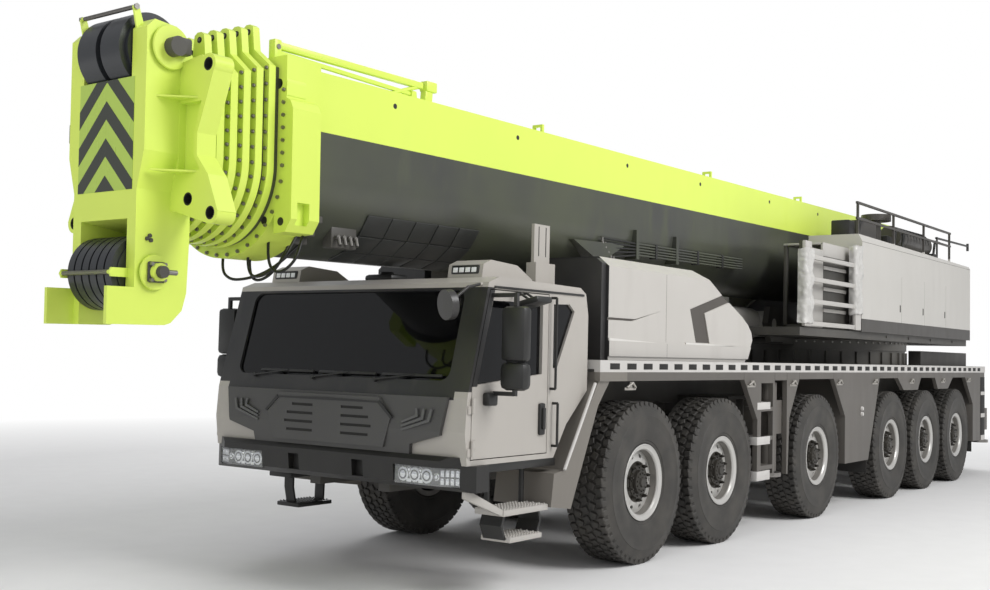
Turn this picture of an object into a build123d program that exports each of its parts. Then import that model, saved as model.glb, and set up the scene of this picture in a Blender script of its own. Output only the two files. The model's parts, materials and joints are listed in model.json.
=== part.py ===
"""Six-axle all-terrain mobile crane, standing on its wheels with its boom in the travel position.

Sizes are in millimetres. +X points forwards, +Y to the vehicle's left and +Z up, with the ground at z = 0.
Stations along the vehicle are counted from the first axle while a piece is made, and finish() moves the
finished piece so that the frame's origin lies midway between the foremost and the rearmost point.
"""
from build123d import *
import os
from math import cos, radians, sin

os.makedirs("parts", exist_ok=True)

# ---------------------------------------------------------------- driving dimensions: carrier
AXLES = (0, -1650, -4300, -7100, -8750, -10400)  # stations of the six axles
STEERED = (1, 2, 3, 5, 6)                         # numbers of the steered axles
HALF_WIDTH = 1500                                 # half the road width

TYRE_R = 745
WHEEL_Y = 1270           # wheel centre plane
KINGPIN_Y = 1140         # steering axis
RIM_SEAT_R = 318
RIM_FLANGE_R = 350
HUB_R = 150
SPINDLE_R = 70
RUNNING_GAP = 0.3        # clearance of pins, spindles and faces that bear on each other
AXLE_Z = TYRE_R
AXLE_TUBE_R = 90
CASING_R, SHAFT_R = 215, 48   # final drive casing in the middle of each axle, and drive shafts
STRUT_Y, STRUT_R, STRUT_TOP = 760, 60, 1300

FRAME_HALF_WIDTH = 500
FRAME_FRONT, FRAME_REAR = 880, -12060
FRAME_BOTTOM = 1000
DECK_TOP = 1865
DECK_THICK = 80
DECK_BOTTOM = DECK_TOP - DECK_THICK
DECK_FRONT, DECK_REAR = 870, -12090
SKIRT_THICK = 55
SKIRT_BOTTOM = 600

OUTRIGGER_BEAM_WIDE, OUTRIGGER_BEAM_HIGH = 340, 380
OUTRIGGER_BEAM_INNER, OUTRIGGER_BEAM_TIP = 1050, HALF_WIDTH - 60   # reach past the middle, and to its own side
OUTRIGGER_WALL = 30
OUTRIGGER_PLAY = 6
OUTRIGGER_BOX_HALF = 1130
OUTRIGGER_JACK_Y = HALF_WIDTH - 170
JACK_TUBE_R, JACK_ROD_R, JACK_PAD_R = 110, 80, 165

# ---------------------------------------------------------------- driving dimensions: driver's cab
CAB_FRONT, CAB_REAR = 2630, 920
BUMPER_REAR, BUMPER_BOTTOM = 2385, 850
CAB_HALF_WIDTH = 1400
CAB_WALL = 60
CAB_FLOOR, CAB_SILL, CAB_ROOF = 1050, 1640, 2500
DOOR_GAP = 8
GLASS_THICK = 8

# ---------------------------------------------------------------- driving dimensions: superstructure
SLEW_X = -7700
RING_R = 1400
RING_BASE_TOP = 2065
TURNTABLE_FLOOR = 2200   # underside of the superstructure's floor frame
HOUSE_BOTTOM = 2300
HOUSE_TOP = 3600
HOUSE_FRONT, HOUSE_REAR = -5750, -11100
HOUSE_FRONT_RIGHT = -6500  # the right side stops short of the tilting cab
HOUSE_INNER_Y = 760
SIDE_PLATE_IN, SIDE_PLATE_OUT = 645, 700

# ---------------------------------------------------------------- driving dimensions: boom
FOOT_X, FOOT_Z = -9700, 3300   # boom foot pin
FOOT_PIN_R = 90
BOOM_REST_DEG = -0.8           # the boom lies slightly nose down
BOOM_HALF_WIDTH = 600
BOOM_TOP, BOOM_BOTTOM = 845, -505   # heights over the foot pin, square to the boom
BOOM_WALL = 12
BOOM_STEP = 38                 # each section is set in by this much all round
BOOM_TAIL = -300
WEAR_RING = 200                # length of the wear ring inside each section's mouth
BASE_COLLAR = (13180, 13520)   # the base section's front box, along the boom
SECTION_COUNT = 6              # telescoping sections, the last carrying the head
COLLAR_PITCH, COLLAR_THICK = 110, 62
FIRST_COLLAR = 13560

LIFT_PIVOT_X, LIFT_PIVOT_Z = -5600, 2390
LIFT_EYE_X, LIFT_EYE_Z = 300, 2425
LIFT_BARREL_R, LIFT_ROD_R = 215, 155

HEAD_REAR, HEAD_FRONT = 14070, 14550
HEAD_HALF_WIDTH, LEG_HALF_WIDTH = 415, 345
SLOT_TOP, SLOT_LOW = 265, 255  # half widths of the head's two sheave slots
HEAD_TOE = (14755, -815)       # foremost corner of the head's feet: along and square to the boom
HEAD_SOLE = (14300, -1060)

BOOM_COS, BOOM_SIN = cos(radians(BOOM_REST_DEG)), sin(radians(BOOM_REST_DEG))
REAR_REACH = -13000            # rearmost point, on the towing jaw


def along_boom(u, v=0):
    """Station and height of a point u along the boom from its foot pin and v square to it."""
    return FOOT_X + u * BOOM_COS - v * BOOM_SIN, FOOT_Z + u * BOOM_SIN + v * BOOM_COS


MIDWAY = (along_boom(*HEAD_TOE)[0] + REAR_REACH) / 2


def finish(builder, node):
    """Move a finished piece from stations to the frame's origin, label it and write it."""
    piece = builder.part.moved(Location((-MIDWAY, 0, 0)))
    piece.label = node
    export_step(piece, f"parts/{node}.step")


def side_plane(y=0):
    """Plane across the vehicle at y: local x is the station and local y the height, facing right."""
    return Plane(origin=(0, y, 0), x_dir=(1, 0, 0), z_dir=(0, -1, 0))


def plate(points, y_low, y_high, mode=Mode.ADD):
    """Add or cut a plate between two widths; its side outline is (station, height) points."""
    with BuildSketch(side_plane(y_high)) as outline:
        with BuildLine():
            Polyline(*points, close=True)
        make_face()
    extrude(outline.sketch, amount=y_high - y_low, mode=mode)


def block(x, y, z, mode=Mode.ADD):
    """Add or cut a block; x, y and z are each a pair of limits."""
    middle = [(low + high) / 2 for low, high in (x, y, z)]
    with Locations(tuple(middle)):
        Box(abs(x[1] - x[0]), abs(y[1] - y[0]), abs(z[1] - z[0]), mode=mode)


def bar_across(x, z, radius, y_low, y_high, mode=Mode.ADD):
    """Add or cut a round bar across the vehicle."""
    with BuildSketch(side_plane(y_high)) as section:
        with Locations((x, z)):
            Circle(radius)
    extrude(section.sketch, amount=y_high - y_low, mode=mode)


def facing_plate(points, x_low, x_high, mode=Mode.ADD):
    """Add or cut a plate that faces forwards; its outline is (width, height) points."""
    with BuildSketch(Plane(origin=(x_low, 0, 0), x_dir=(0, 1, 0), z_dir=(1, 0, 0))) as outline:
        with BuildLine():
            Polyline(*points, close=True)
        make_face()
    extrude(outline.sketch, amount=x_high - x_low, mode=mode)


def strut(start, end, radius):
    """Add a round bar between two points."""
    run = Vector(end) - Vector(start)
    with BuildSketch(Plane(origin=start, z_dir=run)) as section:
        Circle(radius)
    extrude(section.sketch, amount=run.length)


def bar_upright(x, y, radius, z_low, z_high, mode=Mode.ADD):
    """Add or cut an upright round bar."""
    with BuildSketch(Plane.XY.offset(z_low)) as section:
        with Locations((x, y)):
            Circle(radius)
    extrude(section.sketch, amount=z_high - z_low, mode=mode)


# ================================================================ carrier: frame, deck and skirts
TOW_PIN_X, TOW_PIN_R = REAR_REACH + 38, 20
TOW_PLATES, TOW_PLATE_THICK = (850, 950), 40   # undersides of the jaw's two plates
RAIL_INNER_Y, RAIL_OUTER_Y = 330, 450
RAIL_HEIGHTS = (760, CAB_FLOOR - RUNNING_GAP)
OUTRIGGER_PITCH = OUTRIGGER_BEAM_WIDE + OUTRIGGER_WALL + 2 * OUTRIGGER_PLAY
OUTRIGGER_BOX_LONG = 2 * OUTRIGGER_PITCH + OUTRIGGER_WALL
# box: station of its front face, height of its beams' middle, and which side's beam lies in front
OUTRIGGER_BOXES = {
    "front": (-2490, 1250, -1),
    "rear": (-12100, 940, 1),
}


def outrigger_beams(box):
    """Middle station, height and side (+1 left, -1 right) of the two beams in an outrigger box."""
    front_face, height, front_side = OUTRIGGER_BOXES[box]
    first = front_face - OUTRIGGER_WALL - OUTRIGGER_PLAY - OUTRIGGER_BEAM_WIDE / 2
    return [(first, height, front_side), (first - OUTRIGGER_PITCH, height, -front_side)]


REAR_FACE = OUTRIGGER_BOXES["rear"][0] - OUTRIGGER_BOX_LONG
GIRDER_WALL = 40
ENGINE_BAY = (-1500, 700)
STRUT_LUG_IN, STRUT_LUG_OUT = FRAME_HALF_WIDTH + RUNNING_GAP, 840

with BuildPart() as chassis_frame:
    # main box girder in the lengths before, between and over the outrigger boxes
    front_box = (OUTRIGGER_BOXES["front"][0], OUTRIGGER_BOXES["front"][0] - OUTRIGGER_BOX_LONG)
    girder = (FRAME_BOTTOM, DECK_BOTTOM - RUNNING_GAP)
    half = (-FRAME_HALF_WIDTH, FRAME_HALF_WIDTH)
    block((front_box[0] + RUNNING_GAP, FRAME_FRONT), half, girder)
    block((FRAME_REAR, front_box[1] - RUNNING_GAP), half, girder)
    # the engine's bay, open upwards
    bay = (half[0] + GIRDER_WALL, half[1] - GIRDER_WALL)
    block(ENGINE_BAY, bay, (FRAME_BOTTOM + GIRDER_WALL, DECK_BOTTOM), mode=Mode.SUBTRACT)
    # dropped rails that carry the driver's cab and the bumper
    for side in (-1, 1):
        rail = sorted((side * RAIL_INNER_Y, side * RAIL_OUTER_Y))
        block((FRAME_FRONT + RUNNING_GAP, BUMPER_REAR - RUNNING_GAP), rail, RAIL_HEIGHTS)
    block((FRAME_FRONT + 300, FRAME_FRONT + 420), (-RAIL_INNER_Y, RAIL_INNER_Y), (820, 990))
    # outrigger boxes across the frame, with a channel for each beam
    for front_face, height, _ in OUTRIGGER_BOXES.values():
        half_high = OUTRIGGER_BEAM_HIGH / 2 + OUTRIGGER_PLAY + OUTRIGGER_WALL
        block((front_face - OUTRIGGER_BOX_LONG, front_face), (-OUTRIGGER_BOX_HALF, OUTRIGGER_BOX_HALF),
              (height - half_high, height + half_high))
    # necks that join each box to the girder
    block(sorted((front_box[0], front_box[1])), half, (FRAME_BOTTOM, DECK_BOTTOM - RUNNING_GAP))
    block((REAR_FACE, FRAME_REAR - RUNNING_GAP), half, (FRAME_BOTTOM, FRAME_BOTTOM + 330))
    for box in OUTRIGGER_BOXES:
        for x, z, _ in outrigger_beams(box):
            wide = OUTRIGGER_BEAM_WIDE / 2 + OUTRIGGER_PLAY
            high = OUTRIGGER_BEAM_HIGH / 2
            block((x - wide, x + wide), (-HALF_WIDTH, HALF_WIDTH),
                  (z - high - RUNNING_GAP, z + high + OUTRIGGER_PLAY), mode=Mode.SUBTRACT)
    # rear bumper with a towing jaw
    block((REAR_FACE - 30, REAR_FACE), (-OUTRIGGER_BOX_HALF, OUTRIGGER_BOX_HALF), (750, 1130))
    for z in TOW_PLATES:
        block((REAR_REACH, REAR_FACE), (-60, 60), (z, z + TOW_PLATE_THICK))
    bar_upright(TOW_PIN_X, 0, TOW_PIN_R, TOW_PLATES[0] - 10, TOW_PLATES[1] + 60, mode=Mode.SUBTRACT)
    # pedestal under the slewing ring
    bar_upright(SLEW_X, 0, RING_R, DECK_BOTTOM, RING_BASE_TOP - RUNNING_GAP)
    # lugs beside each axle, down to the suspension struts
    for x in AXLES:
        for side in (-1, 1):
            block((x - 100, x + 100), sorted((side * STRUT_LUG_IN, side * STRUT_LUG_OUT)),
                  (STRUT_TOP, STRUT_TOP + 120))

finish(chassis_frame, "chassis_frame")

with BuildPart() as engine_block:
    block((-1250, 500), (-420, 420), (FRAME_BOTTOM + 40 + RUNNING_GAP, 1750))
finish(engine_block, "engine_block")

with BuildPart() as deck:
    block((DECK_REAR, DECK_FRONT), (-HALF_WIDTH, HALF_WIDTH), (DECK_BOTTOM, DECK_TOP))
    bar_upright(SLEW_X, 0, RING_R + 5, DECK_BOTTOM, DECK_TOP, mode=Mode.SUBTRACT)
    # pale edge strip, a little deeper than the deck's plates
    for side in (-1, 1):
        edge = sorted((side * (HALF_WIDTH - 60), side * HALF_WIDTH))
        block((DECK_REAR, DECK_FRONT), edge, (1760, DECK_TOP))
    # lockers on the rear deck
    for side in (-1, 1):
        block((-11900, -9250), sorted((side * 1040, side * 1230)), (DECK_TOP, 2090))
finish(deck, "deck")

# skirt outline along the vehicle: (station, height) along its lower edge, from the front backwards
SKIRT_TOP = 1760 - RUNNING_GAP
ARCH_TOP = 1680
VALLEY = 1505
LADDER_TREADS = (690, 1010, 1330)
SKIRT_EDGE = [
    (870, ARCH_TOP), (-2090, ARCH_TOP), (-2440, 1240), (-2440, SKIRT_BOTTOM),
    (-3290, SKIRT_BOTTOM), (-3330, 1240), (-3620, ARCH_TOP), (-4740, ARCH_TOP), (-5150, 1200),
    (-5150, SKIRT_BOTTOM), (-6030, SKIRT_BOTTOM), (-6480, ARCH_TOP), (-7270, ARCH_TOP),
    (-7540, VALLEY), (-8210, VALLEY), (-8360, ARCH_TOP), (-9080, ARCH_TOP), (-9240, VALLEY),
    (-9790, VALLEY), (-10070, ARCH_TOP), (-10800, ARCH_TOP), (-11290, 1230), (-11290, SKIRT_BOTTOM),
    (-12050, SKIRT_BOTTOM),
]

SEAM = 5
PANEL_SEAMS = (-2085, -3625, -4735, -6485, -7265, -8365, -9075, -10075, -10795)

with BuildPart() as side_skirts:
    plate([(870, SKIRT_TOP)] + SKIRT_EDGE + [(-12050, SKIRT_TOP)], HALF_WIDTH - SKIRT_THICK, HALF_WIDTH)
    # lockers behind the panels
    plate([(-5150, 1750), (-5150, SKIRT_BOTTOM), (-6030, SKIRT_BOTTOM), (-6300, 1240),
           (-6300, 1750)], FRAME_HALF_WIDTH + RUNNING_GAP, HALF_WIDTH - SKIRT_THICK)
    plate([(-11290, 1750), (-11290, SKIRT_BOTTOM), (-12050, SKIRT_BOTTOM), (-12050, 1750)],
          FRAME_HALF_WIDTH + RUNNING_GAP, HALF_WIDTH - SKIRT_THICK)
    # mudguard between the cab and the first wheel
    plate([(850, 1690), (1370, 950), (1530, 930), (1570, 660), (1270, 620), (860, 1470), (600, SKIRT_TOP),
           (850, SKIRT_TOP)], HALF_WIDTH - 600, HALF_WIDTH - 20)
    mirror(about=Plane.XZ)
    # seams between the bolted panels
    for x in PANEL_SEAMS:
        block((x - SEAM / 2, x + SEAM / 2), (-HALF_WIDTH, HALF_WIDTH), (SKIRT_BOTTOM - 5, SKIRT_TOP + 5),
              mode=Mode.SUBTRACT)
    # each side's outrigger bay, open for the beam and its jack, beside a pocket with a ladder
    for x, _, side in outrigger_beams("front"):
        wide = OUTRIGGER_BEAM_WIDE / 2 + OUTRIGGER_PLAY
        panel = sorted((side * (HALF_WIDTH - SKIRT_THICK - 5), side * (HALF_WIDTH + 5)))
        block((x - wide, x + wide), panel, (SKIRT_BOTTOM - 5, 1670), mode=Mode.SUBTRACT)
        for edge in (x - wide + SEAM / 2, x + wide - SEAM / 2):
            block((edge - SEAM / 2, edge + SEAM / 2), panel, (1660, SKIRT_TOP + 5), mode=Mode.SUBTRACT)
        panel = sorted((-side * (HALF_WIDTH - SKIRT_THICK - 5), -side * (HALF_WIDTH + 5)))
        block((x - 160, x + 160), panel, (SKIRT_BOTTOM + 40, 1640), mode=Mode.SUBTRACT)
        for z in LADDER_TREADS:
            rung = sorted((-side * (HALF_WIDTH - 200), -side * (HALF_WIDTH - 2)))
            block((x - 161, x + 161), rung, (z, z + 45))
finish(side_skirts, "side_skirts")

# ================================================================ axles, knuckles and wheels
YOKE_HALF_HIGH = 170      # half the height of the fork that holds the kingpin
KNUCKLE_HALF_HIGH = 130
KNUCKLE_R = 80
HUB_IN, HUB_OUT = -30, 130   # hub's ends, from the wheel's centre plane outwards
SPINDLE_TIP = 90

with BuildPart() as axle_beams:
    for number, x in enumerate(AXLES, start=1):
        steered = number in STEERED
        bar_across(x, AXLE_Z, AXLE_TUBE_R, -(KINGPIN_Y - 130), KINGPIN_Y - 130)
        bar_across(x, AXLE_Z, CASING_R, -150, 150)
        if not steered:
            bar_across(x, AXLE_Z, SPINDLE_R, -(WHEEL_Y + SPINDLE_TIP), WHEEL_Y + SPINDLE_TIP)
        for side in (-1, 1):
            # seat and strut of the suspension
            bar_upright(x, side * STRUT_Y, STRUT_R, AXLE_Z, STRUT_TOP - RUNNING_GAP)
            block((x - 110, x + 110), sorted((side * (STRUT_Y - 90), side * (STRUT_Y + 90))),
                  (AXLE_Z - 100, AXLE_Z + 130))
            if steered:
                # fork round the kingpin
                fork = sorted((side * (KINGPIN_Y - 170), side * KINGPIN_Y))
                yoke = (AXLE_Z - YOKE_HALF_HIGH, AXLE_Z + YOKE_HALF_HIGH)
                block((x - KNUCKLE_R, x + KNUCKLE_R), fork, yoke)
                bar_upright(x, side * KINGPIN_Y, KNUCKLE_R, *yoke)
                block((x - 120, x + 120), sorted((side * (KINGPIN_Y - 90), side * (KINGPIN_Y + 120))),
                      (AXLE_Z - KNUCKLE_HALF_HIGH, AXLE_Z + KNUCKLE_HALF_HIGH), mode=Mode.SUBTRACT)
    # drive shafts from axle to axle
    for fore, aft in zip(AXLES, AXLES[1:]):
        strut((fore - CASING_R - RUNNING_GAP, 0, AXLE_Z), (aft + CASING_R + RUNNING_GAP, 0, AXLE_Z), SHAFT_R)
finish(axle_beams, "axle_beams")

for number in STEERED:
    for name, side in (("left", 1), ("right", -1)):
        x = AXLES[number - 1]
        with BuildPart() as knuckle:
            bar_upright(x, side * KINGPIN_Y, KNUCKLE_R - 2, AXLE_Z - KNUCKLE_HALF_HIGH + RUNNING_GAP,
                        AXLE_Z + KNUCKLE_HALF_HIGH - RUNNING_GAP)
            spindle = sorted((side * (KINGPIN_Y - 25), side * (WHEEL_Y + SPINDLE_TIP)))
            bar_across(x, AXLE_Z, SPINDLE_R, *spindle)
        finish(knuckle, f"knuckle_{number}_{name}")

# tyre: (radius, distance from the centre plane) round the half section, from the bead to the tread
TYRE_HALF = [(RIM_SEAT_R + 0.3, 164), (RIM_FLANGE_R + 14, 176), (530, 222.5), (690, 205), (TYRE_R, 180)]
# rim: (radius, distance outwards from the centre plane) round the section from the inner flange
RIM_SECTION = [
    (RIM_SEAT_R - 18, -190), (RIM_FLANGE_R, -190), (RIM_FLANGE_R, -178), (RIM_SEAT_R, -165),
    (RIM_SEAT_R, 165), (RIM_FLANGE_R, 178), (RIM_FLANGE_R, 190), (RIM_SEAT_R - 18, 190),
    (RIM_SEAT_R - 18, 95), (220, 60), (HUB_R, 60), (HUB_R, HUB_OUT), (0, HUB_OUT),
    (0, SPINDLE_TIP + 5), (SPINDLE_R + RUNNING_GAP, SPINDLE_TIP + 5), (SPINDLE_R + RUNNING_GAP, HUB_IN),
    (HUB_R, HUB_IN), (HUB_R, 40), (220, 40), (RIM_SEAT_R - 18, 75),
]


def wheel(station, side):
    """One wheel: the tyre, and the rim with its disc and hub, as two solids a hair apart."""
    tyre_half = TYRE_HALF + [(r, -w) for r, w in reversed(TYRE_HALF)]
    centre = Plane(origin=(station, side * WHEEL_Y, AXLE_Z), x_dir=(1, 0, 0), z_dir=(0, 0, 1))
    with BuildPart() as pair:
        for section in (tyre_half, RIM_SECTION):
            with BuildSketch(centre) as half:
                with BuildLine():
                    Polyline(*[(r, side * w) for r, w in section], close=True)
                make_face()
            revolve(half.sketch, axis=Axis(centre.origin, (0, 1, 0)))
    return pair


for number, x in enumerate(AXLES, start=1):
    for name, side in (("left", 1), ("right", -1)):
        finish(wheel(x, side), f"wheel_{number}_{name}")

# ================================================================ outriggers
JACK_TUBE = {"front": (640, 1640), "rear": (590, 1480)}   # lower and upper end of each jack's tube

for box in OUTRIGGER_BOXES:
    for x, z, side in outrigger_beams(box):
        name = f"{box}_{'left' if side > 0 else 'right'}"
        half_wide, half_high = OUTRIGGER_BEAM_WIDE / 2, OUTRIGGER_BEAM_HIGH / 2
        low, high = JACK_TUBE[box]
        with BuildPart() as outrigger_beam:
            along = sorted((-side * OUTRIGGER_BEAM_INNER, side * OUTRIGGER_BEAM_TIP))
            block((x - half_wide, x + half_wide), along, (z - half_high, z + half_high))
            bar_upright(x, side * OUTRIGGER_JACK_Y, JACK_TUBE_R, low, high)
            bar_upright(x, side * OUTRIGGER_JACK_Y, JACK_ROD_R + RUNNING_GAP, low - 1, high - 30,
                        mode=Mode.SUBTRACT)
        finish(outrigger_beam, f"outrigger_beam_{name}")
        with BuildPart() as outrigger_jack:
            bar_upright(x, side * OUTRIGGER_JACK_Y, JACK_ROD_R, low - 20, high - 60)
            bar_upright(x, side * OUTRIGGER_JACK_Y, JACK_PAD_R, low - 60, low - 15)
        finish(outrigger_jack, f"outrigger_jack_{name}")

# ================================================================ driver's cab
# side outline of the cab: (station, height), from the lower front corner round by the roof
CAB_OUTLINE = [
    (2600, CAB_FLOOR), (CAB_FRONT, 1300), (2610, 1560), (2590, CAB_SILL), (2370, 2450), (2230, CAB_ROOF),
    (1050, CAB_ROOF - 20), (960, 2430), (CAB_REAR, 2250), (CAB_REAR, 1600), (1240, 1320), (1430, CAB_FLOOR),
]
# the door's panel, then the windows in it and behind it, as (station, height)
DOOR_OUTLINE = [(2560, 1090), (2560, 1640), (2350, 2400), (1530, 2400), (1530, 1090)]
DOOR_WINDOW = [(2490, 1660), (2310, 2310), (1620, 2320), (1620, 1740)]
QUARTER_WINDOW = [(1460, 1790), (1460, 2320), (1220, 2330), (1140, 2270), (1400, 1790)]
WINDSCREEN_HALF, WINDSCREEN_LOW, WINDSCREEN_HIGH = 1190, 45, 780   # along the slope from the sill
# seams across the shell, as (station limits, height limits): roof behind the screen, rear wall, floor
CAB_SEAMS = [
    ((2300 - RUNNING_GAP, 2300), (2380, CAB_ROOF + 1)), ((CAB_REAR - 1, 1040), (2350 - RUNNING_GAP, 2350)),
    ((CAB_REAR - 1, 1100), (1640 - RUNNING_GAP, 1640)), ((2450 - RUNNING_GAP, 2450), (CAB_FLOOR - 1, 1180)),
]
POD_IN, POD_OUT = CAB_HALF_WIDTH - 550, CAB_HALF_WIDTH - 200
ROUND_MIRROR_R = 115
DOOR_HINGES = (1180, 1500)                  # lower ends of the door's hinge barrels
DOOR_HINGE_X, DOOR_HINGE_Y = 2556, CAB_HALF_WIDTH + 16
HINGE_BARREL_R, HINGE_PIN_R = 14, 7
MIRROR_IN, MIRROR_POST, MIRROR_OUT = CAB_HALF_WIDTH + 130, CAB_HALF_WIDTH + 225, CAB_HALF_WIDTH + 320


def inset(points, amount):
    """A polygon drawn in by an amount all round, as points."""
    with BuildSketch() as outline:
        with BuildLine():
            Polyline(*points, close=True)
        make_face()
        offset(amount=-amount, kind=Kind.INTERSECTION, mode=Mode.REPLACE)
    wire = outline.sketch.faces()[0].outer_wire()
    return [(v.X, v.Y) for v in (edge.position_at(0) for edge in wire.order_edges())]


SCREEN_SLOPE = Plane(origin=(2590, 0, CAB_SILL), x_dir=(0, 1, 0), z_dir=(810, 0, 220))

with BuildPart() as driver_cab:
    plate(CAB_OUTLINE, -CAB_HALF_WIDTH, CAB_HALF_WIDTH)
    fillet(driver_cab.edges().filter_by(GeomType.LINE).group_by(Axis.X)[-1], radius=60)
    plate(inset(CAB_OUTLINE, CAB_WALL), -CAB_HALF_WIDTH + CAB_WALL, CAB_HALF_WIDTH - CAB_WALL,
          mode=Mode.SUBTRACT)
    # door apertures and quarter windows in both side walls
    for side in (-1, 1):
        wall = sorted((side * (CAB_HALF_WIDTH - CAB_WALL - 1), side * (CAB_HALF_WIDTH + 1)))
        plate(DOOR_OUTLINE, *wall, mode=Mode.SUBTRACT)
        plate(QUARTER_WINDOW, *wall, mode=Mode.SUBTRACT)
    # windscreen and rear window
    with BuildSketch(SCREEN_SLOPE) as screen:
        with Locations((0, (WINDSCREEN_LOW + WINDSCREEN_HIGH) / 2)):
            RectangleRounded(2 * WINDSCREEN_HALF, WINDSCREEN_HIGH - WINDSCREEN_LOW, 90)
    extrude(screen.sketch, amount=110, both=True, mode=Mode.SUBTRACT)
    block((CAB_REAR - 10, CAB_REAR + CAB_WALL + 10), (-700, 700), (1850, 2200), mode=Mode.SUBTRACT)
    # seams where the side walls, roof, floor, front and rear meet
    for side in (-1, 1):
        y = side * (CAB_HALF_WIDTH - CAB_WALL)
        block((CAB_REAR - 1, CAB_FRONT + 1), (y - RUNNING_GAP / 2, y + RUNNING_GAP / 2),
              (CAB_FLOOR - 1, CAB_ROOF + 1), mode=Mode.SUBTRACT)
    for x, z in CAB_SEAMS:
        block(x, (-CAB_HALF_WIDTH + CAB_WALL, CAB_HALF_WIDTH - CAB_WALL), z, mode=Mode.SUBTRACT)
    # lamp pods on the roof
    for side in (-1, 1):
        plate([(2200, CAB_ROOF), (1500, CAB_ROOF - 12), (1500, 2525), (1720, 2630), (2080, 2650), (2180, 2610)],
              *sorted((side * POD_IN, side * POD_OUT)))
    # folded bracket behind the roof
    bracket = CAB_HALF_WIDTH - 400
    block((930, 1230), (bracket - 50, bracket + 50), (2420, 2700))
    block((970, 1210), (bracket - 15, bracket + 15), (2690, 3040))
    # round mirror over the windscreen's left corner
    corner = CAB_HALF_WIDTH - 100
    strut((2360, corner + 30, 2440), (2560, corner + 45, 2400), 12)
    strut((2555, corner + 45, 2405), (2735, corner, 2270), 12)
    strut((2715, corner + 10, 2262), (2768, corner - 10, 2255), ROUND_MIRROR_R)
    # pins and barrels of the door hinges
    for side in (-1, 1):
        for z in DOOR_HINGES:
            leaf = sorted((side * (CAB_HALF_WIDTH - 1), side * (CAB_HALF_WIDTH + 10)))
            block((DOOR_HINGE_X + 2, DOOR_HINGE_X + 50), leaf, (z - 60, z - RUNNING_GAP))
            bar_upright(DOOR_HINGE_X, side * DOOR_HINGE_Y, HINGE_BARREL_R, z - 60, z - RUNNING_GAP)
            bar_upright(DOOR_HINGE_X, side * DOOR_HINGE_Y, HINGE_PIN_R, z - 60, z + 60)
finish(driver_cab, "driver_cab")

with BuildPart() as cab_glass:
    middle = CAB_WALL / 2
    with BuildSketch(SCREEN_SLOPE.offset(-middle)) as pane:
        with Locations((0, (WINDSCREEN_LOW + WINDSCREEN_HIGH) / 2)):
            RectangleRounded(2 * WINDSCREEN_HALF - 1, WINDSCREEN_HIGH - WINDSCREEN_LOW - 1, 90)
    extrude(pane.sketch, amount=GLASS_THICK)
    block((CAB_REAR + middle, CAB_REAR + middle + GLASS_THICK), (-699.7, 699.7), (1850.3, 2199.7))
    for side in (-1, 1):
        place = side * (CAB_HALF_WIDTH - middle)
        plate(inset(QUARTER_WINDOW, RUNNING_GAP), *sorted((place, place + side * GLASS_THICK)))
finish(cab_glass, "cab_glass")

for name, side in (("left", 1), ("right", -1)):
    with BuildPart() as door:
        wall = sorted((side * (CAB_HALF_WIDTH - CAB_WALL), side * CAB_HALF_WIDTH))
        plate(inset(DOOR_OUTLINE, DOOR_GAP), *wall)
        plate(DOOR_WINDOW, *wall, mode=Mode.SUBTRACT)
        # main and wide-angle mirrors on two arms
        for heights in ((1850, 2240), (1640, 1830)):
            block((2290, 2345), sorted((side * MIRROR_IN, side * MIRROR_OUT)), heights)
        for z in (1580, 2335):
            block((2300, 2330), sorted((side * (CAB_HALF_WIDTH - 10), side * (MIRROR_POST + 15))), (z, z + 30))
        block((2300, 2330), sorted((side * (MIRROR_POST - 15), side * (MIRROR_POST + 15))), (1590, 2355))
        # hinge barrels that turn on the cab's pins
        for z in DOOR_HINGES:
            leaf = sorted((side * (CAB_HALF_WIDTH - 1), side * (CAB_HALF_WIDTH + 10)))
            block((DOOR_HINGE_X - 60, DOOR_HINGE_X - 2), leaf, (z, z + 60))
            bar_upright(DOOR_HINGE_X, side * DOOR_HINGE_Y, HINGE_BARREL_R, z, z + 60)
            bar_upright(DOOR_HINGE_X, side * DOOR_HINGE_Y, HINGE_PIN_R + RUNNING_GAP, z - 1, z + 61,
                        mode=Mode.SUBTRACT)
    finish(door, f"door_{name}")

BUMPER_HALF = CAB_HALF_WIDTH + 50
LAMP_IN, LAMP_OUT, LAMP_LOW, LAMP_HIGH = CAB_HALF_WIDTH - 660, CAB_HALF_WIDTH - 55, 885, 1030
TOW_POCKET_Y = 360
MASK_HALF = CAB_HALF_WIDTH - 110
# louvre panel and its slats' middles, from the front: (width, height)
LOUVRE_PANEL = [(560, 1540), (-560, 1540), (-690, 1375), (-620, 1150), (620, 1150), (690, 1375)]
LOUVRES = [(400, 1445), (460, 1375), (490, 1305), (460, 1235)]

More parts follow.
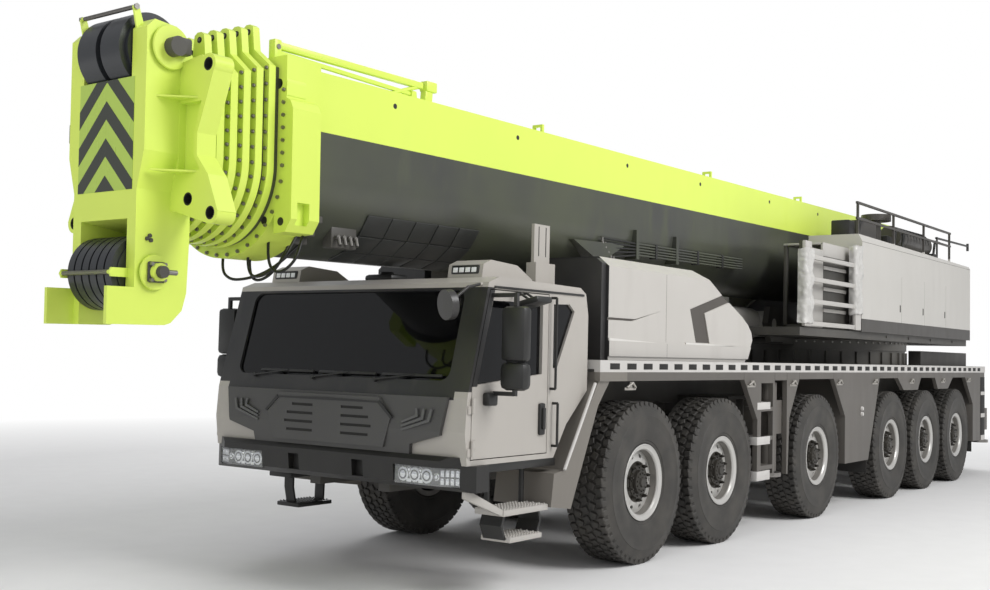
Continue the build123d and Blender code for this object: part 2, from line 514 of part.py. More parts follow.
with BuildPart() as front_bumper:
    plate([(BUMPER_REAR, CAB_FLOOR - RUNNING_GAP), (BUMPER_REAR, BUMPER_BOTTOM), (2560, BUMPER_BOTTOM),
           (2670, 900), (2690, 1080), (2650, 1112), (2609, 1112), (2601, CAB_FLOOR - RUNNING_GAP)],
          -BUMPER_HALF, BUMPER_HALF)
    # mask over the cab's lower front, with pale cheeks left free at both ends
    plate([(2609, 1112), (2632, 1300), (2612, 1560), (2646, 1560), (2668, 1300), (2645, 1112)],
          -MASK_HALF, MASK_HALF)
    for side in (-1, 1):
        cheek = [(MASK_HALF - 420, 1113), (MASK_HALF - 410, 1190), (MASK_HALF - 110, 1270), (MASK_HALF - 55, 1561),
                 (MASK_HALF + 1, 1561), (MASK_HALF + 1, 1113)]
        facing_plate([(side * y, z) for y, z in cheek],
                     2600, 2700, mode=Mode.SUBTRACT)
        # raked corners, lamp recesses and towing pockets
        corner = [(2700, side * (BUMPER_HALF - 260)), (2700, side * (BUMPER_HALF + 1)),
                  (2540, side * (BUMPER_HALF + 1))]
        with BuildSketch(Plane.XY.offset(BUMPER_BOTTOM - 1)) as rake:
            with BuildLine():
                Polyline(*corner, close=True)
            make_face()
        extrude(rake.sketch, amount=1114 - BUMPER_BOTTOM, mode=Mode.SUBTRACT)
        lamp = sorted((side * LAMP_IN, side * LAMP_OUT))
        block((2560, 2700), lamp, (LAMP_LOW, LAMP_HIGH), mode=Mode.SUBTRACT)
        block((2620, 2700), sorted((side * (TOW_POCKET_Y - 60), side * (TOW_POCKET_Y + 60))), (905, 1035),
              mode=Mode.SUBTRACT)
    # raised louvre panel with its slats
    facing_plate(LOUVRE_PANEL, 2640, 2674)
    for half, z in LOUVRES:
        for side in (-1, 1):
            block((2668, 2682), sorted((side * 160, side * half)), (z - 11, z + 11), mode=Mode.SUBTRACT)
    # headlamp units in their recesses
    for side in (-1, 1):
        unit = [(2560 + RUNNING_GAP, side * (LAMP_IN + 6)), (2650, side * (LAMP_IN + 6)),
                (2650, side * (LAMP_OUT - 160)), (2590, side * (LAMP_OUT - 6)),
                (2560 + RUNNING_GAP, side * (LAMP_OUT - 6))]
        with BuildSketch(Plane.XY.offset(LAMP_LOW + RUNNING_GAP)) as outline:
            with BuildLine():
                Polyline(*unit, close=True)
            make_face()
        extrude(outline.sketch, amount=LAMP_HIGH - LAMP_LOW - 8)
finish(front_bumper, "front_bumper")

with BuildPart() as cab_steps:
    for side in (-1, 1):
        out = sorted((side * (CAB_HALF_WIDTH - 230), side * (CAB_HALF_WIDTH + 60)))
        block((1580, 2190), out, (640, 690))
        block((1630, 2110), out, (420, 470))
        for x in (1640, 2070):
            block((x, x + 40), sorted((side * (CAB_HALF_WIDTH - 50), side * (CAB_HALF_WIDTH - 10))),
                  (460, CAB_FLOOR - RUNNING_GAP))
    for y in (-560, -180):
        block((2520, 2550), (y, y + 40), (560, BUMPER_BOTTOM - RUNNING_GAP))
    block((2480, 2590), (-560, -140), (560, 590))
finish(cab_steps, "cab_steps")

# ================================================================ engine housing behind the cab
HOUSING_INNER_Y, HOUSING_OUTER_Y = 700, 1370
HOUSING_FRONT, HOUSING_TOP = 530, 2800
HOUSING_OUTLINE = [
    (HOUSING_FRONT, DECK_TOP + RUNNING_GAP), (HOUSING_FRONT, HOUSING_TOP), (-1310, HOUSING_TOP), (-1800, 2565),
    (-2060, 2460), (-2300, 2360), (-2450, 2280), (-2550, 2190), (-2575, 2110), (-2525, 2030), (-2430, 1930),
    (-2380, DECK_TOP + RUNNING_GAP),
]
HOUSING_CHAMFER = 90
# pressed recess on the outer side: (station, height)
HOUSING_RECESS = [(-1061, 2391), (-1816, 2573), (-1973, 2498), (-1392, 2362), (-1514, 2054), (-1195, 2055)]
HOUSING_CREASE = [(531, 2226), (531, 2250), (40, 2250), (-470, 2348), (110, 2226)]

with BuildPart() as engine_housing:
    plate(HOUSING_OUTLINE, HOUSING_INNER_Y, HOUSING_OUTER_Y)
    # lower band stands proud, front panel covers the air intake
    plate([(HOUSING_FRONT, 1900), (HOUSING_FRONT, 2040), (-2510, 2030), (-2430, 1900)], HOUSING_OUTER_Y - 1,
          HOUSING_OUTER_Y + 14)
    block((HOUSING_FRONT - 1, HOUSING_FRONT + 80), (HOUSING_INNER_Y + 20, HOUSING_OUTER_Y - 30),
          (DECK_TOP + RUNNING_GAP, HOUSING_TOP - 20))
    facing_plate([(HOUSING_OUTER_Y + 1, HOUSING_TOP - HOUSING_CHAMFER), (HOUSING_OUTER_Y + 1, HOUSING_TOP + 1),
                  (HOUSING_OUTER_Y - HOUSING_CHAMFER - 20, HOUSING_TOP + 1)], -1900, HOUSING_FRONT + 90,
                 mode=Mode.SUBTRACT)
    for outline in (HOUSING_RECESS, HOUSING_CREASE):
        plate(outline, HOUSING_OUTER_Y - 12, HOUSING_OUTER_Y + 1, mode=Mode.SUBTRACT)
    mirror(about=Plane.XZ)
finish(engine_housing, "engine_housing")

# ================================================================ superstructure
WINCH_X, WINCH_Z = -10820, 2800
WINCH_DRUM_R, WINCH_FLANGE_R, WINCH_SHAFT_R = 220, 300, 50
LIFT_LUG_IN, LIFT_LUG_OUT = 260, 340
LIFT_PIN_R = 75
LIFT_EYE_R = 150
CRANE_CAB_FRONT, CRANE_CAB_REAR = -3750, -5700
CAB_HINGE_X, CAB_HINGE_Z, CAB_LUG_R = -5600, 2380, 42
STAIR_FRONT, STAIR_REAR = -3740, -5700

with BuildPart() as turntable:
    # ring and disc, then the floor frame that carries the houses
    bar_upright(SLEW_X, 0, RING_R + 20, RING_BASE_TOP, TURNTABLE_FLOOR)
    floor = (TURNTABLE_FLOOR, HOUSE_BOTTOM - RUNNING_GAP)
    block((-11050, -6400), (-1450, 1450), floor)
    for side in (-1, 1):
        block((-6401, STAIR_FRONT), sorted((side * 720, side * 1450)), floor)
    # side plates that hold the boom foot and the winch
    for y in ((SIDE_PLATE_IN, SIDE_PLATE_OUT), (-SIDE_PLATE_OUT, -SIDE_PLATE_IN)):
        plate([(-6400, 2201), (-6400, 2500), (-8900, 3430), (-9400, 3640), (-10050, 3640), (-10400, 3350),
               (-11050, 3100), (-11050, 2201)], *y)
    bar_across(FOOT_X, FOOT_Z, FOOT_PIN_R + RUNNING_GAP, -900, 900, mode=Mode.SUBTRACT)
    bar_across(WINCH_X, WINCH_Z, WINCH_SHAFT_R + RUNNING_GAP, -900, 900, mode=Mode.SUBTRACT)
    # lugs for the lift cylinder
    for side in (-1, 1):
        plate([(-6500, 2201), (-6500, 2400), (-5850, 2620), (-5450, 2620), (-5380, 2400), (-5500, 2150),
               (-6400, 2150)], *sorted((side * LIFT_LUG_IN, side * LIFT_LUG_OUT)))
    block((-6500, -5900), (-LIFT_LUG_OUT, LIFT_LUG_OUT), (2130, 2200))
    bar_across(LIFT_PIVOT_X, LIFT_PIVOT_Z, LIFT_PIN_R + RUNNING_GAP, -900, 900, mode=Mode.SUBTRACT)
    # lugs under the tilting cab
    for y in ((-1200, -1160), (-860, -820)):
        plate([(CAB_HINGE_X - 120, HOUSE_BOTTOM - 1), (CAB_HINGE_X - CAB_LUG_R, CAB_HINGE_Z),
               (CAB_HINGE_X + CAB_LUG_R, CAB_HINGE_Z), (CAB_HINGE_X + 120, HOUSE_BOTTOM - 1)], *y)
        bar_across(CAB_HINGE_X, CAB_HINGE_Z, CAB_LUG_R, *y)
    bar_across(CAB_HINGE_X, CAB_HINGE_Z, 20 + RUNNING_GAP, -1300, -800, mode=Mode.SUBTRACT)
finish(turntable, "turntable")

RAIL_Y, RAIL_TUBE, RAIL_TOP, RAIL_REAR = HALF_WIDTH - 100, 30, 4040, -10200
HOUSE_SEAMS = (-7425, -8520, -9660)

with BuildPart() as machinery_house:
    for side, front in ((1, HOUSE_FRONT), (-1, HOUSE_FRONT_RIGHT)):
        plate([(front, HOUSE_BOTTOM), (front, HOUSE_TOP), (HOUSE_REAR, HOUSE_TOP - 60),
               (HOUSE_REAR, HOUSE_BOTTOM)], *sorted((side * HOUSE_INNER_Y, side * HALF_WIDTH)))
        # chamfered upper edge, raked rear corner and panel seams
        facing_plate([(side * (HALF_WIDTH + 1), HOUSE_TOP - 100), (side * (HALF_WIDTH + 1), HOUSE_TOP + 1),
                      (side * (HALF_WIDTH - 55), HOUSE_TOP + 1)], HOUSE_REAR - 1, front + 1, mode=Mode.SUBTRACT)
        for x in HOUSE_SEAMS:
            block((x - 4, x + 4), sorted((side * (HALF_WIDTH - 6), side * (HALF_WIDTH + 1))), (2460, 3130),
                  mode=Mode.SUBTRACT)
        rail = sorted((side * RAIL_Y, side * (RAIL_Y + RAIL_TUBE)))
        for z in (3800, RAIL_TOP - RAIL_TUBE):
            block((RAIL_REAR, front - 20), rail, (z, z + RAIL_TUBE))
        for x in (front - 60, -7300, -8750, RAIL_REAR + 50):
            foot = HOUSE_TOP - 60 * (front - x) / (front - HOUSE_REAR)
            block((x - RAIL_TUBE / 2, x + RAIL_TUBE / 2), rail, (foot + 1, RAIL_TOP))
    # air intake, tank and silencer on the left half's roof
    bar_upright(-7400, 1130, 70, HOUSE_TOP - 30, 3960)
    bar_upright(-7400, 1130, 210, 3950, 4040)
    block((-7050, -6350), (900, 1250), (HOUSE_TOP - 30, 3860))
    strut((-8100, 1100, 3790), (-9700, 1100, 3775), 170)
    for x in (-8350, -9450):
        block((x - 60, x + 60), (980, 1220), (HOUSE_TOP - 60, 3680))
finish(machinery_house, "machinery_house")

STAIR_TREADS = (2330, 2600, 2870, 3140)   # undersides
STAIR_WALL = 55
with BuildPart() as access_stairs:
    # side plates, treads between them, back panel and the platform at the top
    for x in (STAIR_FRONT - STAIR_WALL, STAIR_REAR):
        facing_plate([(HALF_WIDTH, HOUSE_BOTTOM), (HALF_WIDTH, 3150), (HALF_WIDTH - 90, 3400), (800, 3400),
                      (800, HOUSE_BOTTOM)], x, x + STAIR_WALL)
    inside = (STAIR_REAR + STAIR_WALL - 1, STAIR_FRONT - STAIR_WALL + 1)
    for z in STAIR_TREADS:
        block(inside, (HALF_WIDTH - 250, HALF_WIDTH - 5), (z, z + 40))
        block(inside, (HALF_WIDTH - 330, HALF_WIDTH - 300), (z + 40, z + 230))
    block(inside, (HALF_WIDTH - 460, HALF_WIDTH - 440), (HOUSE_BOTTOM, 3370))
    block(inside, (800, HALF_WIDTH - 100), (3360, 3400))
finish(access_stairs, "access_stairs")

# crane operator's cab on the right, hinged at its lower rear edge
CRANE_CAB_Y = (-1440, -720)
CRANE_CAB_BOTTOM, CRANE_CAB_TOP = 2440, 3720
CRANE_CAB_OUTLINE = [
    (CRANE_CAB_FRONT - 60, CRANE_CAB_BOTTOM), (CRANE_CAB_FRONT, 2900), (CRANE_CAB_FRONT - 330, CRANE_CAB_TOP),
    (CRANE_CAB_REAR, CRANE_CAB_TOP), (CRANE_CAB_REAR, CRANE_CAB_BOTTOM),
]
CRANE_CAB_WALL = 45
CRANE_DOOR = [(-4560, 2500), (-4560, 3600), (-5340, 3600), (-5340, 2500)]
CRANE_DOOR_LAP = 40                         # the door covers its opening by this much all round
CRANE_DOOR_BOTTOM, CRANE_DOOR_TOP = CRANE_DOOR[0][1] - CRANE_DOOR_LAP, CRANE_DOOR[1][1] + CRANE_DOOR_LAP
CRANE_SIDE_WINDOW = [(-4000, 2640), (-3870, 2900), (-4110, 3600), (-4460, 3600), (-4460, 2640)]
CRANE_BACK_WINDOW = ((-1300, -860), (2900, 3600))
CRANE_SCREEN_LOW, CRANE_SCREEN_HIGH = 80, 830

CRANE_SLOPE = Plane(origin=(CRANE_CAB_FRONT, sum(CRANE_CAB_Y) / 2, 2900), x_dir=(0, 1, 0), z_dir=(820, 0, 330))
with BuildPart() as crane_cab:
    y_low, y_high = CRANE_CAB_Y
    plate(CRANE_CAB_OUTLINE, y_low, y_high)
    plate(inset(CRANE_CAB_OUTLINE, CRANE_CAB_WALL), y_low + CRANE_CAB_WALL, y_high - CRANE_CAB_WALL,
          mode=Mode.SUBTRACT)
    plate(CRANE_DOOR, y_low - 1, y_low + CRANE_CAB_WALL + 1, mode=Mode.SUBTRACT)
    plate(CRANE_SIDE_WINDOW, y_low - 1, y_high + 1, mode=Mode.SUBTRACT)
    block((CRANE_CAB_REAR - 1, CRANE_CAB_REAR + CRANE_CAB_WALL + 1), *CRANE_BACK_WINDOW, mode=Mode.SUBTRACT)
    with BuildSketch(CRANE_SLOPE) as screen:
        with Locations((0, (CRANE_SCREEN_LOW + CRANE_SCREEN_HIGH) / 2)):
            RectangleRounded(600, CRANE_SCREEN_HIGH - CRANE_SCREEN_LOW, 50)
    extrude(screen.sketch, amount=70, both=True, mode=Mode.SUBTRACT)
    # hinge lug between the turntable's two lugs
    plate([(CAB_HINGE_X - 95, CRANE_CAB_BOTTOM + 1), (CAB_HINGE_X - 30, CAB_HINGE_Z),
           (CAB_HINGE_X + 30, CAB_HINGE_Z), (CAB_HINGE_X + 95, CRANE_CAB_BOTTOM + 1)], -1150, -870)
    bar_across(CAB_HINGE_X, CAB_HINGE_Z, CAB_LUG_R - 8, -1150, -870)
    bar_across(CAB_HINGE_X, CAB_HINGE_Z, 20, -1199, -821)
    # rails over and under the sliding door
    for z in ((CRANE_DOOR_BOTTOM - 20, CRANE_DOOR_BOTTOM - RUNNING_GAP),
              (CRANE_DOOR_TOP + RUNNING_GAP, CRANE_DOOR_TOP + 25)):
        block((CRANE_CAB_REAR + 5, -4130), (y_low - 44, y_low + 1), z)
finish(crane_cab, "crane_cab")

with BuildPart() as crane_cab_glass:
    half = CRANE_CAB_WALL / 2
    with BuildSketch(CRANE_SLOPE.offset(-half)) as pane:
        with Locations((0, (CRANE_SCREEN_LOW + CRANE_SCREEN_HIGH) / 2)):
            RectangleRounded(599.4, CRANE_SCREEN_HIGH - CRANE_SCREEN_LOW - 0.6, 50)
    extrude(pane.sketch, amount=GLASS_THICK)
    for y in (y_low + half, y_high - half):
        plate(inset(CRANE_SIDE_WINDOW, RUNNING_GAP), y, y + GLASS_THICK)
    (back_low, back_high), (sill, head) = CRANE_BACK_WINDOW
    block((CRANE_CAB_REAR + half, CRANE_CAB_REAR + half + GLASS_THICK),
          (back_low + RUNNING_GAP, back_high - RUNNING_GAP), (sill + RUNNING_GAP, head - RUNNING_GAP))
finish(crane_cab_glass, "crane_cab_glass")

with BuildPart() as crane_cab_door:
    plate(inset(CRANE_DOOR, -CRANE_DOOR_LAP), y_low - 6 - 34, y_low - 6)
    plate(inset(CRANE_DOOR, 70), y_low - 60, y_low, mode=Mode.SUBTRACT)
finish(crane_cab_door, "crane_cab_door")

with BuildPart() as hoist_winch:
    bar_across(WINCH_X, WINCH_Z, WINCH_DRUM_R, -600, 600)
    for y in ((-600, -570), (570, 600)):
        bar_across(WINCH_X, WINCH_Z, WINCH_FLANGE_R, *y)
    bar_across(WINCH_X, WINCH_Z, WINCH_SHAFT_R, -699, 699)
finish(hoist_winch, "hoist_winch")

# ================================================================ boom
def boom_cross(u):
    """Plane square to the boom: local x points left and local y up the boom's depth."""
    x, z = along_boom(u)
    return Plane(origin=(x, 0, z), x_dir=(0, 1, 0), z_dir=(BOOM_COS, 0, BOOM_SIN))


def boom_side(y):
    """Side plane in the boom's own frame: local x runs along the boom from the foot pin."""
    return Plane(origin=(FOOT_X, y, FOOT_Z), x_dir=(BOOM_COS, 0, BOOM_SIN), z_dir=(0, -1, 0))


def u_section(set_in, top=BOOM_TOP):
    """The boom's section: flat top, straight sides and a round belly, set in from the base's outline."""
    half = BOOM_HALF_WIDTH - set_in
    centre = BOOM_BOTTOM + BOOM_HALF_WIDTH
    with BuildSketch() as section:
        with BuildLine():
            Polyline((half, centre), (half, top - set_in), (-half, top - set_in), (-half, centre))
            ThreePointArc((-half, centre), (0, centre - half), (half, centre))
        make_face()
    return section.sketch


def boom_run(section, start, end, mode=Mode.ADD):
    """Add or cut a stretch of the boom's section between two distances from the foot pin."""
    with BuildSketch(boom_cross(start)) as placed:
        add(section)
    extrude(placed.sketch, amount=end - start, mode=mode)


def boom_hollow(set_in, start, mouth):
    """Cut a section's hollow; the wear ring at its mouth fits round the next section."""
    boom_run(u_section(set_in + BOOM_WALL), start, mouth - WEAR_RING, mode=Mode.SUBTRACT)
    boom_run(u_section(set_in + BOOM_STEP - RUNNING_GAP), mouth - WEAR_RING - 1, mouth + 1, mode=Mode.SUBTRACT)


def boom_plate(points, y_low, y_high, mode=Mode.ADD):
    """Add or cut a plate along the boom, its outline given as (along, square to) the boom."""
    with BuildSketch(boom_side(y_high)) as outline:
        with BuildLine():
            Polyline(*points, close=True)
        make_face()
    extrude(outline.sketch, amount=y_high - y_low, mode=mode)


def boom_bar(u, v, radius, y_low, y_high, mode=Mode.ADD):
    """Add or cut a round bar across the boom."""
    with BuildSketch(boom_side(y_high)) as section:
        with Locations((u, v)):
            Circle(radius)
    extrude(section.sketch, amount=y_high - y_low, mode=mode)


def front_plate(points, start, end, mode=Mode.ADD):
    """Add or cut a plate square to the boom; its outline is (across, square to the boom) points."""
    with BuildSketch(boom_cross(start)) as outline:
        with BuildLine():
            Polyline(*points, close=True)
        make_face()
    extrude(outline.sketch, amount=end - start, mode=mode)


def front_bar(y, v, radius, start, end, mode=Mode.ADD):
    """Add or cut a round bar along the boom."""
    with BuildSketch(boom_cross(start)) as section:
        with Locations((y, v)):
            Circle(radius)
    extrude(section.sketch, amount=end - start, mode=mode)


EYE_U = (LIFT_EYE_X - FOOT_X) * BOOM_COS + (LIFT_EYE_Z - FOOT_Z) * BOOM_SIN
EYE_CHEEK = (180, 240)
EYE_V = (LIFT_EYE_Z - FOOT_Z) * BOOM_COS - (LIFT_EYE_X - FOOT_X) * BOOM_SIN

COLLAR_PLATE = 45
PILASTER_IN, PILASTER_OUT = 540, 715
JIB_HINGE = (13330, 13520)         # boss above each pilaster, along the boom
JIB_HINGE_V, JIB_HINGE_R, JIB_HINGE_HOLE = 690, 85, 38
SIDE_PIPES = [-205, -175, -145, -115, -85]   # heights of the pipes along the left side
PIPE_Y, PIPE_R = 626, 11
PIPE_RUN = (5800, 8420)
PIPE_POSTS = (7500, 8400)
RAIL_RUN = (11900, 13380)
ROPE_HOOPS = (10090, 6480, 3650)

with BuildPart() as boom_base:
    boom_run(u_section(0), BOOM_TAIL, BASE_COLLAR[1])
    boom_run(u_section(-COLLAR_PLATE), *BASE_COLLAR)
    # cheeks of the bracket for the lift cylinder's eye
    for y in (EYE_CHEEK, (-EYE_CHEEK[1], -EYE_CHEEK[0])):
        boom_plate([(EYE_U - 360, BOOM_BOTTOM + 100), (EYE_U - 360, BOOM_BOTTOM), (EYE_U - 120, EYE_V - 90),
                    (EYE_U + 60, EYE_V - 110), (EYE_U + 130, EYE_V), (EYE_U + 250, BOOM_BOTTOM),
                    (EYE_U + 250, BOOM_BOTTOM + 100)], *y)
    # pilasters on the collar's sides, with a bored boss above and a lug below
    for side in (-1, 1):
        outline = [(PILASTER_IN, 640), (PILASTER_OUT - 30, 560), (PILASTER_OUT, 500), (PILASTER_OUT, -290),
                   (PILASTER_OUT - 60, -380), (PILASTER_IN, -390)]
        front_plate([(side * y, v) for y, v in outline], BASE_COLLAR[0] + 60, BASE_COLLAR[1])
        front_bar(side * 565, JIB_HINGE_V, JIB_HINGE_R, *JIB_HINGE)
        foot = [(480, 600), (480, JIB_HINGE_V), (650, JIB_HINGE_V), (650, 600)]
        front_plate([(side * y, v) for y, v in foot], *JIB_HINGE)
        front_bar(side * 565, JIB_HINGE_V, JIB_HINGE_HOLE, JIB_HINGE[0] - 1, JIB_HINGE[1] + 1,
                  mode=Mode.SUBTRACT)
        # pocket through the lower lug
        front_plate([(side * y, v) for y, v in ((PILASTER_OUT + 1, -170), (655, -170), (655, -330),
                                                 (PILASTER_OUT + 1, -330))],
                    BASE_COLLAR[0] + 160, BASE_COLLAR[1] - 60, mode=Mode.SUBTRACT)
    # guide rail on top and hoops that guide the rope
    boom_plate([(RAIL_RUN[0], BOOM_TOP + 60), (RAIL_RUN[0], BOOM_TOP + 90), (RAIL_RUN[1], BOOM_TOP + 130),
                (RAIL_RUN[1], BOOM_TOP + 100)], 400, 430)
    for u in RAIL_RUN:
        boom_plate([(u - 60, BOOM_TOP - 1), (u - 40, BOOM_TOP + 100), (u + 10, BOOM_TOP + 100),
                    (u + 30, BOOM_TOP - 1)], 385, 445)
    for u in ROPE_HOOPS:
        for v_low, v_high, y in ((-1, 85, (520, 545)), (-1, 85, (430, 455)), (65, 90, (430, 545))):
            boom_plate([(u, BOOM_TOP + v_low), (u, BOOM_TOP + v_high), (u + 30, BOOM_TOP + v_high),
                        (u + 30, BOOM_TOP + v_low)], *y)
    # pipes along the left side, their clamps and the plate of unions
    for v in SIDE_PIPES:
        front_bar(PIPE_Y, v, PIPE_R, *PIPE_RUN)
    for u in PIPE_POSTS:
        boom_plate([(u, -250), (u, 60), (u + 60, 60), (u + 60, -250)], BOOM_HALF_WIDTH - 150,
                   PIPE_Y + PIPE_R + 4)
    boom_plate([(8640, -110), (9660, -130), (9150, -330)], BOOM_HALF_WIDTH - 180, BOOM_HALF_WIDTH + 20)
    boom_hollow(0, BOOM_TAIL + 20, BASE_COLLAR[1])
    boom_bar(0, 0, FOOT_PIN_R, -SIDE_PLATE_OUT, SIDE_PLATE_OUT)
    boom_bar(EYE_U, EYE_V, LIFT_PIN_R + RUNNING_GAP, -EYE_CHEEK[1] - 10, EYE_CHEEK[1] + 10, mode=Mode.SUBTRACT)
finish(boom_base, "boom_base")

COLLAR_OUT, COLLAR_RISE, LUG_RISE = 10, 130, 320   # collar past its tube's side, and its rise over the tube
LUG_IN, LUG_OUT = 290, 390


def collar_section(number):
    """Section of a tube's collar: a U with chamfered shoulders and two lifting lugs on top."""
    half = BOOM_HALF_WIDTH - BOOM_STEP + COLLAR_OUT - 6 * (number - 1)
    centre = BOOM_BOTTOM + BOOM_HALF_WIDTH
    top = BOOM_TOP - number * BOOM_STEP + COLLAR_RISE
    lug = BOOM_TOP - number * BOOM_STEP + LUG_RISE
    with BuildSketch() as section:
        with BuildLine():
            Polyline((half, centre), (half, top - 130), (LUG_OUT + 20, top), (LUG_OUT, lug - 20), (LUG_OUT - 30, lug),
                     (LUG_IN + 30, lug), (LUG_IN, lug - 20), (LUG_IN - 20, top), (0, top), (0, centre - half))
            ThreePointArc((half, centre), (half * cos(radians(45)), centre - half * sin(radians(45))),
                          (0, centre - half))
        make_face()
        mirror(about=Plane.YZ)
    return section.sketch


for number in range(1, SECTION_COUNT):
    set_in = number * BOOM_STEP
    tail = 150 + 30 * number
    collar = FIRST_COLLAR + (number - 1) * COLLAR_PITCH
    with BuildPart() as boom_section:
        boom_run(u_section(set_in), tail, collar + COLLAR_THICK)
        boom_run(collar_section(number), collar, collar + COLLAR_THICK)
        boom_hollow(set_in, tail - 1, collar + COLLAR_THICK)
    finish(boom_section, f"boom_section_{number + 1}")

SHEAVE_TOP = (HEAD_FRONT - 180, 790, 262)     # along, square to the boom, and radius
SHEAVE_LOW = (HEAD_FRONT - 145, -712, 250)
HEAD_AXLE_R = 60
HEAD_RING = 40                     # ring round the end of the last tube
JIB_PIN_R = 45
LOW_GUARD_U, GUARD_R = HEAD_FRONT + 130, 13   # rods that keep the ropes on the sheaves
WING_FRONT, WING_WEB, WING_REAR = HEAD_REAR + 205, HEAD_REAR + 150, HEAD_REAR + 45
# holes of the side brackets for a jib's pins: (across, square to the boom)
JIB_HOLES = {"upper": (700, 667), "lower": (750, -322), "inner": (523, -219)}
JIB_BOSS_R = 72
# side bracket seen from the front: (across, square to the boom), from its upper root outwards and down
WING_OUTLINE = [(330, 692), (630, 737), (770, 660), (690, 440), (605, 220), (605, 70), (720, -65), (825, -312),
                (740, -394), (386, -295), (330, -290)]
WING_POCKET = [(417, 430), (640, 430), (575, 220), (575, 70), (640, -30), (417, -30)]


TUBE_SET_IN = SECTION_COUNT * BOOM_STEP
with BuildPart() as boom_head:
    # the last tube, ending in the head's ring
    tail = 150 + 30 * SECTION_COUNT
    boom_run(u_section(TUBE_SET_IN), tail, HEAD_REAR + HEAD_RING - RUNNING_GAP)
    boom_run(u_section(TUBE_SET_IN + BOOM_WALL), tail - 1, HEAD_REAR + HEAD_RING, mode=Mode.SUBTRACT)
    boom_run(u_section(TUBE_SET_IN - 60), HEAD_REAR, HEAD_REAR + HEAD_RING)
    boom_run(u_section(TUBE_SET_IN - RUNNING_GAP), HEAD_REAR - 1, HEAD_REAR + HEAD_RING, mode=Mode.SUBTRACT)
    boom_run(u_section(TUBE_SET_IN), HEAD_REAR - 10, HEAD_REAR + HEAD_RING - RUNNING_GAP)
    boom_run(u_section(TUBE_SET_IN + BOOM_WALL), HEAD_REAR - 11, HEAD_REAR + HEAD_RING, mode=Mode.SUBTRACT)
    # head box: side outline, then the front's taper
    head_rear = HEAD_REAR + HEAD_RING
    boom_plate([
        (head_rear, -480), (HEAD_REAR + 55, -840), (HEAD_REAR + 90, -960), (HEAD_SOLE[0] - 50, -1045),
        HEAD_SOLE, (HEAD_FRONT, HEAD_SOLE[1]), (HEAD_FRONT, 900), (HEAD_FRONT - 60, 960),
        (HEAD_REAR + 240, 945), (HEAD_REAR + 80, 740), (head_rear, 690),
    ], -HEAD_HALF_WIDTH, HEAD_HALF_WIDTH)
    front_plate([(LEG_HALF_WIDTH, -1200), (LEG_HALF_WIDTH, -165), (HEAD_HALF_WIDTH + 1, 90), (500, 90), (500, -1200)],
                head_rear - 1, HEAD_TOE[0] + 1, mode=Mode.SUBTRACT)
    front_plate([(-LEG_HALF_WIDTH, -1200), (-LEG_HALF_WIDTH, -165), (-HEAD_HALF_WIDTH - 1, 90), (-500, 90),
                 (-500, -1200)], head_rear - 1, HEAD_TOE[0] + 1, mode=Mode.SUBTRACT)
    # toes, one on each leg
    for y in ((LEG_HALF_WIDTH - 30, LEG_HALF_WIDTH), (-LEG_HALF_WIDTH, 30 - LEG_HALF_WIDTH)):
        boom_plate([(HEAD_SOLE[0], HEAD_TOE[1]), HEAD_SOLE, (HEAD_TOE[0], HEAD_SOLE[1]), HEAD_TOE], *y)
    # slots for the two groups of sheaves
    boom_plate([(head_rear - 1, 1200), (head_rear - 1, 420), (HEAD_REAR + 180, 420), (HEAD_FRONT - 150, 470),
                (HEAD_FRONT - 50, 530),
                (HEAD_FRONT + 1, 585), (HEAD_FRONT + 1, 1200)], -SLOT_TOP, SLOT_TOP, mode=Mode.SUBTRACT)
    boom_plate([(head_rear + 30, -1200), (head_rear + 30, -420), (HEAD_TOE[0] + 1, -330), (HEAD_TOE[0] + 1, -1200)],
               -SLOT_LOW, SLOT_LOW, mode=Mode.SUBTRACT)
    for u, v, _ in (SHEAVE_TOP, SHEAVE_LOW):
        boom_bar(u, v, HEAD_AXLE_R, -HEAD_HALF_WIDTH - 20, HEAD_HALF_WIDTH + 20)
    # rope guards: a rod before each group of sheaves, on two arms
    for side in (-1, 1):
        boom_plate([(HEAD_FRONT - 80, 880), (HEAD_FRONT - 20, 1050), (HEAD_FRONT + 10, 1060),
                    (HEAD_FRONT + 25, 1035), (HEAD_FRONT - 15, 860)],
                   *sorted((side * 285, side * 300)))
        boom_plate([(HEAD_FRONT - 20, -690), (LOW_GUARD_U, -690), (LOW_GUARD_U + 16, -720), (LOW_GUARD_U, -750),
                    (HEAD_FRONT - 20, -750)],
                   *sorted((side * 265, side * 280)))
    boom_bar(HEAD_FRONT + 5, 1045, GUARD_R, -300, 300)
    boom_bar(LOW_GUARD_U, -720, GUARD_R, -280, 280)
    # side brackets for a jib
    for side in (-1, 1):
        front_plate([(side * y, v) for y, v in WING_OUTLINE], WING_REAR, WING_FRONT)
        front_plate([(side * y, v) for y, v in WING_POCKET], WING_WEB, WING_FRONT + 1, mode=Mode.SUBTRACT)
        for hole in ("upper", "lower"):
            front_bar(side * JIB_HOLES[hole][0], JIB_HOLES[hole][1], JIB_BOSS_R, WING_REAR, WING_FRONT)
        for y, v in JIB_HOLES.values():
            front_bar(side * y, v, JIB_PIN_R, WING_REAR - 1, WING_FRONT + 1, mode=Mode.SUBTRACT)
finish(boom_head, "boom_section_7_head")

